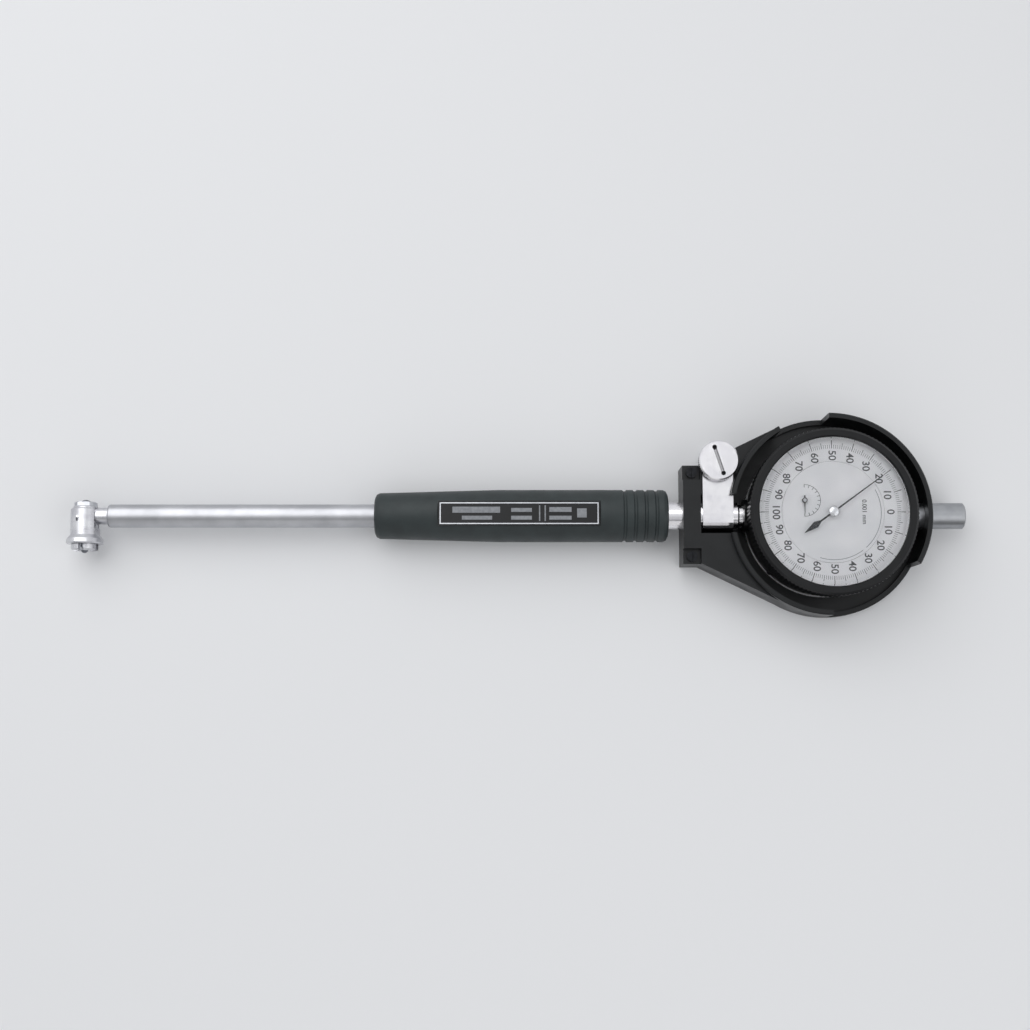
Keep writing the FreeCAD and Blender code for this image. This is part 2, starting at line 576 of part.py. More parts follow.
# tube: carries the head's neck at one end and the holder at the other, inside the grip
node("long_tube", turned("long_tube", "X", GAUGE, [
    ("tube_start", "tube_bore"), ("tube_start", "tube_rad - tube_round"),
    ("tube_start + tube_round*0.3", "tube_rad - tube_round*0.3"), ("tube_start + tube_round", "tube_rad"),
    ("seat_at", "tube_rad"), ("seat_at", "tube_bore")]))

# push rod: thin where it passes the neck, with a collar that the return spring presses on
node("push_rod", turned("push_rod", "X", GAUGE, [
    ("rod_start", "0"), ("rod_start", "rod_tip*0.6"), ("rod_start + 0.5", "rod_tip"),
    ("neck_end + stroke + 1", "rod_tip"),
    ("neck_end + stroke + 1", "rod_rad"),
    ("collar_at", "rod_rad"), ("collar_at", "collar_rad"), ("collar_at + collar_len", "collar_rad"),
    ("collar_at + collar_len", "rod_rad"), ("dial_at - tip_reach - touch_gap", "rod_rad"),
    ("dial_at - tip_reach - touch_gap", "0")]))
for end, station in (("front", "bush_first"), ("rear", "bush_second")):
    node(f"rod_bush_{end}", turned(f"rod_bush_{end}", "X", GAUGE, [
        (station, "rod_rad + run_fit"), (station, "tube_bore - snug_fit"),
        (f"{station} + bush_len", "tube_bore - snug_fit"), (f"{station} + bush_len", "rod_rad + run_fit")]))
rod_spring = node("rod_spring", shaped("rod_spring", coil(
    size("rod_coil"), size("rod_wire"), size("seat_at - collar_at - collar_len"), 7), GAUGE))
place(rod_spring, GAUGE, ("collar_at + collar_len + rod_wire/2", "0", "0"), LENGTHS["X"])

# grip: moulded plastic with a slow taper, ring grooves at the rear and a flat for the nameplate
grip_outline = [("grip_start", "tube_rad + snug_fit"), ("grip_start", "grip_front - grip_round"),
                ("grip_start + grip_round*0.35", "grip_front - grip_round*0.3"),
                ("grip_start + grip_round", "grip_front"), ("grip_start + grip_swell", "grip_rad")]
for ring in range(4):
    start = f"grip_end - groove_back + {ring}*groove_pitch"
    grip_outline += [(start, "grip_rad"), (f"{start} + groove_wide*0.3", "grip_rad - groove_deep"),
                     (f"{start} + groove_wide*0.7", "grip_rad - groove_deep"),
                     (f"{start} + groove_wide", "grip_rad")]
grip_outline += [("grip_end - grip_round", "grip_rad"),
                 ("grip_end - grip_round*0.35", "grip_rad - grip_round*0.3"),
                 ("grip_end", "grip_rad - grip_round"), ("grip_end", "holder_rad + snug_fit"),
                 ("grip_end - holder_in", "holder_rad + snug_fit"),
                 ("grip_end - holder_in", "tube_rad + snug_fit")]
node("grip", cut(
    "grip", turned("grip_moulding", "X", GAUGE, grip_outline),
    box("grip_flat", GAUGE,
        ("grip_start + plate_start - plate_play", "grip_start + plate_start + plate_len + plate_play"),
        ("-plate_wide/2 - plate_play", "plate_wide/2 + plate_play"), ("plate_seat", "grip_rad + 1"))))
node("nameplate", box("nameplate", GAUGE,
                      ("grip_start + plate_start", "grip_start + plate_start + plate_len"),
                      ("-plate_wide/2", "plate_wide/2"), ("plate_seat", "plate_seat + plate_thick")))

# holder: the plated tube that the dial's stem slides into, slit so that the clamp can close it
holder_turning = turned("holder_turning", "X", GAUGE, [
    ("grip_end - holder_in", "tube_rad + snug_fit"), ("grip_end - holder_in", "holder_rad"),
    ("holder_end - holder_edge", "holder_rad"), ("holder_end", "holder_rad - holder_edge"),
    ("holder_end", "stem_rad + snug_fit"), ("dial_at - stem_reach - 1", "stem_rad + snug_fit"),
    ("dial_at - stem_reach - 1", "contact_bore"), ("seat_at + seat_wall", "contact_bore"),
    ("seat_at + seat_wall", "rod_rad + run_fit"), ("seat_at", "rod_rad + run_fit"),
    ("seat_at", "tube_rad + snug_fit")])
node("holder_tube", cut("holder_tube", holder_turning, box(
    "holder_slit", GAUGE, ("holder_end - slit_len", "holder_end + 1"), ("0", "holder_rad + 1"),
    ("-slit_wide/2", "slit_wide/2"))))

# clamp: a flat-topped split ring with two ears, drawn together by the thumb screw
clamp_ring = cylinder("clamp_round", "X", GAUGE, "clamp_rad", "clamp_start", "clamp_start + clamp_width")
clamp_ear = box("clamp_ear", GAUGE, ("clamp_start", "clamp_start + clamp_width"), ("0", "screw_side"),
                ("-clamp_half", "clamp_half"))
clamp_end = cylinder("clamp_end", "Z", GAUGE, "ear_round", "-clamp_half", "clamp_half",
                     ("clamp_mid", "screw_side"))
node("clamp_ring", cut(
    "clamp_drilled", fuse("clamp_block", clamp_ring, clamp_ear, clamp_end),
    cylinder("clamp_bore", "X", GAUGE, "holder_rad + snug_fit", "clamp_start - 1",
             "clamp_start + clamp_width + 1"),
    box("clamp_split", GAUGE, ("clamp_start - 1", "clamp_start + clamp_width + 1"),
        ("0", "screw_side + ear_round + 1"), ("-ear_gap/2", "ear_gap/2")),
    cylinder("clamp_screw_hole", "Z", GAUGE, "screw_rad + run_fit", "-clamp_half - 1", "clamp_half + 1",
             ("clamp_mid", "screw_side")),
    *[box(f"clamp_flat_{side}", GAUGE, ("clamp_start - 1", "clamp_start + clamp_width + 1"),
          ("-clamp_rad", "clamp_rad"), span)
      for side, span in enumerate((("clamp_half", "clamp_rad + 1"), ("-clamp_rad - 1", "-clamp_half")))]))

# thumb screw: a disc with a coin slot and a hole at each end of the slot
screw_turning = turned("screw_turning", "Z", GAUGE, [
    ("clamp_half + boss_tall - screw_len", "0"), ("clamp_half + boss_tall - screw_len", "screw_rad - edge"),
    ("clamp_half + boss_tall - screw_len + edge", "screw_rad"), ("clamp_half", "screw_rad"),
    ("clamp_half", "boss_rad"), ("clamp_half + boss_tall", "boss_rad"),
    ("clamp_half + boss_tall", "disc_rad - disc_edge"), ("clamp_half + boss_tall + disc_edge", "disc_rad"),
    ("clamp_half + boss_tall + disc_thick - disc_edge", "disc_rad"),
    ("clamp_half + boss_tall + disc_thick", "disc_rad - disc_edge"),
    ("clamp_half + boss_tall + disc_thick", "0")], ("clamp_mid", "screw_side"))
disc_top = size("clamp_half + boss_tall + disc_thick")
half_slot, reach = size("coin_slot/2"), size("coin_reach")
slot_cut = prism([(-half_slot, -reach), (half_slot, -reach), (half_slot, reach), (-half_slot, reach)],
                 disc_top - size("coin_deep"), disc_top + 1)
for end in (-reach, reach):
    hole = Part.makeCylinder(size("coin_hole"), size("disc_thick"), FreeCAD.Vector(0, end, disc_top - 2.4))
    slot_cut = slot_cut.fuse(hole)
slot_cut.rotate(FreeCAD.Vector(), Z, size("coin_lean"))
knurl = shaped("disc_knurl", serrated(size("disc_rad"), size("tooth_deep"), round(size("knurl_teeth")),
                                      size("-screw_len"), disc_top + 1), GAUGE, ("clamp_mid", "screw_side", "0"))
node("clamp_screw", cut("clamp_screw", common("knurled_screw", screw_turning, knurl),
                        shaped("coin_slot_cut", slot_cut, GAUGE, ("clamp_mid", "screw_side", "0"))))

# dial indicator case: a cup open at the back, with a deck under the face and a hub for the bezel
case_turning = turned("case_turning", "Z", DIAL, [
    ("-case_back", "case_rad - case_wall"), ("-case_back", "case_rad"), ("case_step", "case_rad"),
    ("case_step", "hub_rad"), ("deck_top", "hub_rad"), ("deck_top", "arbor_rad + 0.3"),
    ("deck_low", "arbor_rad + 0.3"), ("deck_low", "case_rad - case_wall")])
boss_ring = cut("boss_ring", fuse(
    "boss_blanks", *[cylinder(f"case_boss_{side}", "X", DIAL, "stem_boss", *span) for side, span in enumerate((
        ("-case_rad - boss_out", "-case_rad + case_wall"), ("case_rad - case_wall", "case_rad + boss_out")))]),
    cylinder("boss_inner", "Z", DIAL, "case_rad - case_wall/2", "-case_back", "case_step"))
POSTS = [(f"post_circle*cos({angle})", f"post_circle*sin({angle})") for angle in (45, 125, 225, 300)]
BACK_SCREWS = [(f"(case_rad - case_wall/2)*cos({angle})", f"(case_rad - case_wall/2)*sin({angle})")
               for angle in (45, 135, 225, 315)]
node("dial_case", cut(
    "case_drilled", fuse("case_forging", case_turning, boss_ring),
    cylinder("case_stem_hole", "X", DIAL, "stem_rad + snug_fit", "-case_rad - boss_out - 1", "-case_rad/2"),
    cylinder("case_bush_hole", "X", DIAL, "bush_rad + snug_fit", "case_rad/2", "case_rad + boss_out + 1"),
    cylinder("case_counter_hole", "Z", DIAL, "arbor_rad + 0.3", "deck_low - 1", "deck_top + 1",
             ("-counter_back", "counter_side")),
    *[cylinder(f"case_post_hole_{hole}", "Z", DIAL, "post_screw + snug_fit", "deck_low - 1",
               "deck_low + deck_thick*0.7", where) for hole, where in enumerate(POSTS)],
    *[cylinder(f"case_back_hole_{hole}", "Z", DIAL, "cover_screw + snug_fit", "-case_back - 1",
               "-case_back + cover_screw_deep + edge", where) for hole, where in enumerate(BACK_SCREWS)]))

node("back_cover", cut(
    "back_cover", turned("cover_turning", "Z", DIAL, [
        ("-case_back - cover_thick", "0"), ("-case_back - cover_thick", "case_rad - edge"),
        ("-case_back - cover_thick + edge", "case_rad"), ("-case_back", "case_rad"),
        ("-case_back", "0")]),
    *[cylinder(f"cover_hole_{hole}", "Z", DIAL, "cover_screw + snug_fit", "-case_back - cover_thick - 1",
               "-case_back + 1", where) for hole, where in enumerate(BACK_SCREWS)],
    *[cylinder(f"cover_sink_{hole}", "Z", DIAL, "cover_head + snug_fit", "-case_back - cover_thick - 1",
               "-case_back - cover_thick/2", where) for hole, where in enumerate(BACK_SCREWS)]))


def screws(name, frame, places, shank_rad, head_rad, shank_span, head_span, top):
    """A group of like screws along Z, with a slot in the head's top or underside."""
    slot_floor = f"({head_span[0]} + ({head_span[1]}))/2"
    slot_span = (slot_floor, f"{head_span[1]} + 1") if top else (f"{head_span[0]} - 1", slot_floor)
    group = add("Part::Compound", name)
    group.Links = [cut(f"{name}_{number}", fuse(
        f"{name}_blank_{number}", cylinder(f"{name}_shank_{number}", "Z", frame, shank_rad, *shank_span, where),
        cylinder(f"{name}_head_{number}", "Z", frame, head_rad, *head_span, where)), box(
            f"{name}_slot_{number}", frame, (f"{where[0]} - {head_rad}*0.15", f"{where[0]} + {head_rad}*0.15"),
            (f"{where[1]} - {head_rad} - 1", f"{where[1]} + {head_rad} + 1"), slot_span))
                   for number, where in enumerate(places)]
    return group


node("back_screws", screws(
    "back_screws", DIAL, BACK_SCREWS, "cover_screw", "cover_head",
    ("-case_back - cover_thick/2", "-case_back + cover_screw_deep"),
    ("-case_back - cover_thick*0.93", "-case_back - cover_thick/2"), top=False))

node("stem", turned("stem", "X", DIAL, [
    ("-stem_reach", "spindle_rad + run_fit"), ("-stem_reach", "stem_rad - edge"),
    ("-stem_reach + edge", "stem_rad"), ("-case_rad + case_wall", "stem_rad"),
    ("-case_rad + case_wall", "spindle_rad + run_fit")]))

# spindle: ground rod with rack teeth cut along one side and a thin tail that runs in the upper bush
spindle_turning = turned("spindle_turning", "X", DIAL, [
    ("-spindle_reach", "0"), ("-spindle_reach", "spindle_rad"), ("case_rad - case_wall - 3", "spindle_rad"),
    ("case_rad - case_wall - 3", "tail_rad"), ("bush_reach + 0.4", "tail_rad"),
    ("bush_reach + 0.4", "tail_coil + tail_wire/2"), ("bush_reach + 1.4", "tail_coil + tail_wire/2"),
    ("bush_reach + 1.4", "tail_rad"), ("cap_reach - cap_wall - stroke - 0.3", "tail_rad"),
    ("cap_reach - cap_wall - stroke - 0.3", "0")])
pitch, line = size("rack_pitch"), size("rack_line")
module = pitch / math.pi
gap_count = 11
rack_gaps = []
for gap in range(gap_count):
    middle = (gap - gap_count // 2 - 1) * pitch
    mouth, bottom = pitch / 2 - 0.32 * module, pitch / 2 - 1.05 * module
    rack_gaps.append(prism([(middle - mouth, -line - 0.85 * module), (middle + mouth, -line - 0.85 * module),
                            (middle + bottom, -line + 1.2 * module), (middle - bottom, -line + 1.2 * module)],
                           -2 * line, 2 * line))
rack_half = pitch * (gap_count / 2 + 1)
rack_gaps.append(prism([(-rack_half, -line - 0.85 * module), (-rack_half, -3 * line),
                        (rack_half - pitch, -3 * line), (rack_half - pitch, -line - 0.85 * module)],
                       -2 * line, 2 * line))
rack_cut = rack_gaps[0].multiFuse(rack_gaps[1:])
node("spindle", cut("spindle", spindle_turning, shaped("rack_cut", rack_cut, DIAL, ("-first_back", "0", "0")),
                    cylinder("spindle_pin_hole", "Y", DIAL, "pin_rad + snug_fit", "0", "spindle_rad + 1",
                             ("pin_at", "0"))))
# a pin in the spindle slides in a slotted guide under the movement, so that the spindle can't turn
pin_end = "pin_guide_near + pin_guide_wide"
node("spindle_pin", cylinder("spindle_pin", "Y", DIAL, "pin_rad", "spindle_rad*0.2", f"{pin_end} - edge",
                             ("pin_at", "0")))
pin_slot = [box("pin_slot_middle", DIAL, ("pin_at", "pin_at + stroke"),
                ("pin_guide_near - 1", f"{pin_end} + 1"), ("-pin_rad - run_fit", "pin_rad + run_fit"))]
pin_slot += [cylinder(f"pin_slot_end_{end}", "Y", DIAL, "pin_rad + run_fit", "pin_guide_near - 1",
                      f"{pin_end} + 1", (at, "0")) for end, at in enumerate(("pin_at", "pin_at + stroke"))]
node("spindle_guide", cut("spindle_guide", box(
    "spindle_guide_block", DIAL,
    ("pin_at - pin_rad - pin_guide_wall", "pin_at + stroke + pin_rad + pin_guide_wall"),
    ("pin_guide_near", pin_end), ("-pin_rad - pin_guide_wall", "plate_low")), *pin_slot))

dial_contact_turning = turned("dial_contact_turning", "X", DIAL, [
    ("-tip_reach + tip_ball", "0"), ("-tip_reach + tip_ball", "tip_ball*0.75"),
    ("-spindle_reach - tip_head_len - edge", "tip_ball*0.75"),
    ("-spindle_reach - tip_head_len", "tip_head"), ("-spindle_reach - edge", "tip_head"),
    ("-spindle_reach", "tip_head - edge"), ("-spindle_reach", "0")])
node("dial_contact", fuse("dial_contact", dial_contact_turning,
                          ball("contact_ball_end", DIAL, "tip_ball", ("-tip_reach + tip_ball", "0", "0"))))

node("upper_bush", turned("upper_bush", "X", DIAL, [
    ("case_rad - case_wall", "tail_rad + run_fit"), ("case_rad - case_wall", "bush_rad"),
    ("bush_reach", "bush_rad"), ("bush_reach", "tail_rad + run_fit")]))
node("top_cap", turned("top_cap", "X", DIAL, [
    ("case_rad + boss_out", "bush_rad + snug_fit"), ("case_rad + boss_out", "cap_rad - edge"),
    ("case_rad + boss_out + edge", "cap_rad"), ("cap_reach - edge", "cap_rad"), ("cap_reach", "cap_rad - edge"),
    ("cap_reach", "0"), ("cap_reach - cap_wall", "0"), ("cap_reach - cap_wall", "bush_rad + snug_fit")]))
spindle_spring = node("spindle_spring", shaped("spindle_spring", coil(
    size("tail_coil"), size("tail_wire"), size("cap_reach - cap_wall - bush_reach - 1.4"), 6), DIAL))
place(spindle_spring, DIAL, ("bush_reach + 1.4 + tail_wire/2", "0", "0"), LENGTHS["X"])

# movement: two plates on four posts, screwed to the deck, carry the gear train
PIVOTS = {"rack": ("-first_back", "first_side"), "counter": ("-counter_back", "counter_side"),
          "centre": ("0", "0"), "hairspring": ("counter_back", "-counter_side")}
for label, low, high in (("lower_plate", "plate_low", "plate_mid"), ("upper_plate", "plate_high", "deck_low")):
    pivots = [where for arbor, where in PIVOTS.items() if label == "lower_plate" or arbor != "rack"]
    node(label, cut(
        label, cylinder(f"{label}_blank", "Z", DIAL, "movement_rad", low, high),
        *[cylinder(f"{label}_pivot_{hole}", "Z", DIAL, "arbor_rad + run_fit", f"{low} - 1", f"{high} + 1",
                   where) for hole, where in enumerate(pivots)],
        *[cylinder(f"{label}_screw_{hole}", "Z", DIAL, "post_screw + snug_fit", f"{low} - 1", f"{high} + 1",
                   where) for hole, where in enumerate(POSTS)]))
posts = add("Part::Compound", "posts")
posts.Links = [cut(f"post_{number}", cylinder(f"post_rod_{number}", "Z", DIAL, "post_rad", "plate_mid",
                                              "plate_high", where),
                   cylinder(f"post_bore_{number}", "Z", DIAL, "post_screw + snug_fit", "plate_mid - 1",
                            "plate_high + 1", where)) for number, where in enumerate(POSTS)]
node("movement_posts", posts)
node("movement_screws", screws("movement_screws", DIAL, POSTS, "post_screw", "post_head",
                               ("plate_low", "deck_low + deck_thick*0.5"),
                               ("plate_low - post_head_tall", "plate_low"), top=False))


def wheel(name, teeth, module, towards, thick, low, gap_there=False):
    """A brass wheel or a pinion, with a tooth, or a gap, in the middle of the line towards a point."""
    phase = math.atan2(towards[1], towards[0]) + (math.pi / teeth if gap_there else 0)
    return prism(gear_outline(teeth, module, phase), low, low + thick)


def bored(shape, low, thick):
    hole = Part.makeCylinder(size("arbor_rad + snug_fit"), thick + 2, FreeCAD.Vector(0, 0, low - 1))
    return shape.cut(hole)


def arbor(low, high):
    return Part.makeCylinder(size("arbor_rad"), high - low, FreeCAD.Vector(0, 0, low))


def teeth_of(name):
    return int(round(size(name)))


thick = size("wheel_thick")
first_level = size("plate_mid + 0.4")
cock_low = first_level + thick + 0.4
second_level = cock_low + size("movement_plate") + 0.3
hair_level = second_level + thick + 0.2
rack_place = [size(rule) for rule in PIVOTS["rack"]]
counter_place = [size(rule) for rule in PIVOTS["counter"]]
to_counter = [b - a for a, b in zip(rack_place, counter_place)]
to_centre = [-a for a in counter_place]

rack_pinion = wheel("rack_pinion", teeth_of("rack_turn"), module, (0, 1), 2.0, -1.0).fuse(
    arbor(-1.0, cock_low + size("movement_plate")))
node("rack_pinion", shaped("rack_pinion", rack_pinion, DIAL, PIVOTS["rack"] + ("0",)))
first_wheel = bored(wheel("first_wheel", teeth_of("first_teeth"), size("first_module"), to_counter, thick,
                          first_level), first_level, thick)
node("first_wheel", shaped("first_wheel", first_wheel, DIAL, PIVOTS["rack"] + ("0",)))

counter_pinion = wheel("counter_pinion", teeth_of("first_leaves"), size("first_module"),
                       [-a for a in to_counter], thick + 0.4, first_level - 0.2, gap_there=True).fuse(
    arbor(size("plate_low"), size("small_level + pointer_thick + 0.2")))
node("counter_pinion", shaped("counter_pinion", counter_pinion, DIAL, PIVOTS["counter"] + ("0",)))
second_wheel = bored(wheel("second_wheel", teeth_of("second_teeth"), size("second_module"), to_centre, thick,
                           second_level), second_level, thick)
node("second_wheel", shaped("second_wheel", second_wheel, DIAL, PIVOTS["counter"] + ("0",)))

centre_pinion = wheel("centre_pinion", teeth_of("centre_leaves"), size("second_module"), counter_place,
                      2 * thick + 0.6, second_level - 0.2, gap_there=True).fuse(
    arbor(size("plate_low"), size("pointer_level + pointer_thick + 0.2")))
node("centre_pinion", shaped("centre_pinion", centre_pinion, DIAL))
hairspring_wheel = wheel("hairspring_wheel", teeth_of("second_teeth"), size("second_module"), counter_place,
                         thick, hair_level).fuse(arbor(size("plate_low"), size("deck_low")))
node("hairspring_wheel", shaped("hairspring_wheel", hairspring_wheel, DIAL, PIVOTS["hairspring"] + ("0",)))

# cock: a small bridge over the first wheel that carries the rack arbor's upper pivot
cock_turn = math.atan2(to_counter[1], to_counter[0]) + math.pi / 2
half_span, half_wide = size("cock_half"), size("cock_wide/2")
cock = prism([(-half_span, -half_wide), (half_span, -half_wide), (half_span, half_wide),
              (-half_span, half_wide)], cock_low, cock_low + size("movement_plate"))
for end in (-half_span, half_span):
    foot = Part.makeCylinder(half_wide, cock_low + size("movement_plate") - size("plate_mid"),
                             FreeCAD.Vector(end, 0, size("plate_mid")))
    cock = cock.fuse(foot)
cock = cock.cut(Part.makeCylinder(size("arbor_rad + run_fit"), 2 * cock_low))
cock.rotate(FreeCAD.Vector(), Z, math.degrees(cock_turn))
node("rack_cock", shaped("rack_cock", cock.removeSplitter(), DIAL, PIVOTS["rack"] + ("0",)))

# hairspring: a flat spiral from the hairspring arbor to a stud, which takes up the play in the teeth
spiral_low = size("plate_mid + 0.6")
inner, outer, strip, steps = size("arbor_rad + 0.1"), 5.6, 0.15, 20
turns = 3
edge = []
for side in (-strip / 2, strip / 2):
    run = []
    for step in range(turns * steps + 1):
        angle = 2 * math.pi * step / steps
        radius = inner + strip / 2 + (outer - inner) * step / (turns * steps) + side
        run.append((radius * math.cos(angle), radius * math.sin(angle)))
    edge += run if side < 0 else run[::-1]
node("hairspring", shaped("hairspring", prism(edge, spiral_low, spiral_low + 0.6), DIAL,
                          PIVOTS["hairspring"] + ("0",)))
stud = Part.makeCylinder(0.6, 1.4, FreeCAD.Vector(outer + 0.1 + strip + 0.6, 0, size("plate_mid")))
node("hairspring_stud", shaped("hairspring_stud", stud, DIAL, PIVOTS["hairspring"] + ("0",)))

# face: the fixed disc stands on feet on the deck, the scale ring turns with the bezel
face_feet = [(f"face_split*0.72*cos({angle})", f"face_split*0.72*sin({angle})") for angle in (20, 110, 250)]
disc_blank = fuse(
    "disc_blank", turned("disc_turning", "Z", DIAL, [
        ("face_low", "arbor_rad + 0.3"), ("face_low", "face_split - split_gap"),
        ("face_level", "face_split - split_gap"), ("face_level", "arbor_rad + 0.3")]),
    *[cylinder(f"disc_foot_{foot}", "Z", DIAL, "1", "deck_top", "face_low + 0.1", where)
      for foot, where in enumerate(face_feet)])
node("dial_disc", cut("dial_disc", disc_blank, cylinder(
    "disc_counter_hole", "Z", DIAL, "arbor_rad + 0.3", "deck_top", "face_level + 1",
    ("-counter_back", "counter_side"))))

bezel_seat = "hub_rad + run_fit"
bezel_turning = turned("bezel_turning", "Z", DIAL, [
    ("case_step + 2*run_fit", bezel_seat), ("case_step + 2*run_fit", "bezel_rad - edge"),
    ("case_step + 2*run_fit + edge", "bezel_rad"),
    ("bezel_top - bezel_edge", "bezel_rad"), ("bezel_top", "bezel_rad - bezel_edge"),
    ("bezel_top", "bezel_lip + edge"), ("bezel_top - edge", "bezel_lip"), ("glass_top", "bezel_lip"),
    ("glass_top", "glass_rad + snug_fit"), ("face_low", "glass_rad + snug_fit"), ("face_low", bezel_seat)])
node("bezel", common("bezel", bezel_turning, shaped("bezel_serrations", serrated(
    size("bezel_rad"), size("tooth_deep"), round(size("bezel_teeth")), 0, size("bezel_top + 1")), DIAL)))
node("scale_ring", turned("scale_ring", "Z", DIAL, [
    ("face_low", "face_split"), ("face_low", "glass_rad"), ("face_level", "glass_rad"),
    ("face_level", "face_split")]))
node("spacer_ring", turned("spacer_ring", "Z", DIAL, [
    ("face_level", "bezel_lip + 0.1"), ("face_level", "glass_rad"), ("glass_low", "glass_rad"),
    ("glass_low", "bezel_lip + 0.1")]))
node("crystal", turned("crystal", "Z", DIAL, [
    ("glass_low", "0"), ("glass_low", "glass_rad"), ("glass_top", "glass_rad"),
    ("glass_top", "bezel_lip - 0.1"), ("glass_top + glass_crown*0.5", "bezel_lip - 0.6"),
    ("glass_top + glass_crown*0.85", "bezel_lip*0.7"), ("glass_top + glass_crown*0.97", "bezel_lip*0.35"),
    ("glass_top + glass_crown", "0")]))


def pointer(tip, tail, tail_points, hub, level, thick):
    """A needle with a hub: a thin blade to the tip and a tail outline on the other side."""
    blade = [(0, hub * 0.21), (tip * 0.97, hub * 0.09), (tip, 0.0), (tip * 0.97, -hub * 0.09), (0, -hub * 0.21)]
    outline = blade + [(-along * tail, -out * hub) for along, out in tail_points]
    outline += [(-along * tail, out * hub) for along, out in reversed(tail_points)]
    needle = prism(outline, level, level + thick)
    boss = Part.makeCylinder(hub, 3 * thick, FreeCAD.Vector(0, 0, level - thick))
    return bored(needle.fuse(boss), level, thick)


long_pointer = pointer(size("pointer_tip"), size("pointer_tail"),
                       [(0.45, 0.21), (0.62, 0.82), (1.0, 0.07)], size("pointer_hub"), size("pointer_level"),
                       size("pointer_thick"))
long_pointer.rotate(FreeCAD.Vector(), Z, size("pointer_turn"))
node("long_pointer", shaped("long_pointer", long_pointer, DIAL))
small_pointer = pointer(size("small_tip"), size("small_tip*0.35"), [(1.0, 0.25)], size("pointer_hub*0.65"),
                        size("small_level"), size("pointer_thick"))
small_pointer.rotate(FreeCAD.Vector(), Z, -90)
node("counter_pointer", shaped("counter_pointer", small_pointer, DIAL, PIVOTS["counter"] + ("0",)))

# guard: a moulded shell round the dial, with finger windows beside the bezel and an open neck
rim = turned("rim", "Z", DIAL, [
    ("-axis_height", "0"), ("-axis_height", "rim_rad - edge"), ("-axis_height + edge", "rim_rad"),
    ("rim_top - edge", "rim_rad"), ("rim_top", "rim_rad - edge"), ("rim_top", "0")])
neck = slab("neck", DIAL, [
    ("-bar_far", "-neck_narrow"), ("-bar_near", "-neck_narrow"), ("-neck_back", "-neck_wide"),
    ("0", "-neck_wide"), ("0", "neck_wide"), ("-neck_back", "neck_wide"), ("-bar_near", "neck_narrow"),
    ("-bar_far", "neck_narrow")], "-axis_height", "web_top")
neck_room = slab("neck_room", DIAL, [
    ("-bar_far - 1", "-neck_narrow + rim_wall"), ("-bar_near", "-neck_narrow + rim_wall"),
    ("-neck_back", "-neck_wide + rim_wall*1.1"), ("0", "-neck_wide + rim_wall*1.1"),
    ("0", "neck_wide - rim_wall*1.1"), ("-neck_back", "neck_wide - rim_wall*1.1"),
    ("-bar_near", "neck_narrow - rim_wall"), ("-bar_far - 1", "neck_narrow - rim_wall")],
    "floor_top", "web_low")
lug_room = box("lug_room", DIAL, ("-bar_far - 1", "-bar_near"), ("-bar_hub - run_fit", "bar_hub + run_fit"),
               ("floor_top", "web_top + 1"))
tab_room = box("tab_room", DIAL, ("-bar_far - 1", "-bar_near"), ("-neck_narrow - 1", "neck_narrow + 1"),
               ("lug_top", "web_top + 1"))
lug_blocks = [box(f"lug_{side}", DIAL, ("-bar_far", "-bar_near"), span, ("-axis_height", "lug_top"))
              for side, span in enumerate((("-neck_narrow", "-bar_hub - run_fit"), ("bar_hub + run_fit", "neck_narrow")))]
guard_shell = cut(
    "guard_shell", fuse("guard_blank", rim, neck),
    cylinder("guard_well", "Z", DIAL, "rim_rad - rim_wall", "floor_top", "rim_top + 1"),
    cylinder("guard_floor_hole", "Z", DIAL, "floor_hole", "-axis_height - 1", "floor_top + 1"),
    neck_room, lug_room, tab_room,
    box("web_slot", DIAL, ("-bar_far - 1", "-case_rad"), ("-web_slot/2", "web_slot/2"),
        ("web_low - 1", "rim_top + 1")),
    box("ear_notch", GAUGE, ("clamp_start - bar_play/2", "clamp_start + clamp_width + ear_room"),
        ("0", "neck_wide + 1"), ("floor_top", "web_top + 1")),
    cylinder("cap_hole", "X", DIAL, "cap_rad + 0.4", "case_rad", "rim_rad + 1"),
    cylinder("finger_window_0", "Z", DIAL, "rim_rad + 1", "floor_top + window_sill - floor_thick",
             "rim_top + 1", sector=60, first=-90),
    cylinder("finger_window_1", "Z", DIAL, "rim_rad + 1", "floor_top + window_sill - floor_thick",
             "rim_top + 1", sector=30, first=90))
GUARD_SCREWS = [("-guard_screw_at", "-guard_screw_side"), ("-guard_screw_at", "guard_screw_side")]
node("guard", cut(
    "guard", fuse("guard_lugged", guard_shell, *lug_blocks),
    *[cylinder(f"lug_hole_{hole}", "Z", DIAL, "guard_screw + snug_fit", "lug_top - guard_screw_deep - edge",
               "lug_top + 1", where) for hole, where in enumerate(GUARD_SCREWS)]))
bar_hub_block = box("bar_hub_block", DIAL, ("-bar_far", "-bar_near"), ("-bar_hub", "bar_hub"),
                    ("floor_top", "web_top"))
bar_tabs = box("bar_tabs", DIAL, ("-bar_far", "-bar_near"), ("-neck_narrow", "neck_narrow"),
               ("lug_top", "tab_top"))
node("guard_bar", cut(
    "guard_bar", fuse("bar_blank", bar_hub_block, bar_tabs),
    cylinder("bar_tube_hole", "X", DIAL, "holder_rad + snug_fit", "-bar_far - 1", "-bar_near + 1"),
    *[cylinder(f"bar_hole_{hole}", "Z", DIAL, "guard_screw + snug_fit", "lug_top - 1", "tab_top + 1", where)
      for hole, where in enumerate(GUARD_SCREWS)]))
node("guard_screws", screws("guard_screws", DIAL, GUARD_SCREWS, "guard_screw", "guard_head",
                            ("lug_top - guard_screw_deep", "tab_top"), ("tab_top", "tab_top + guard_head_tall"),
                            top=True))

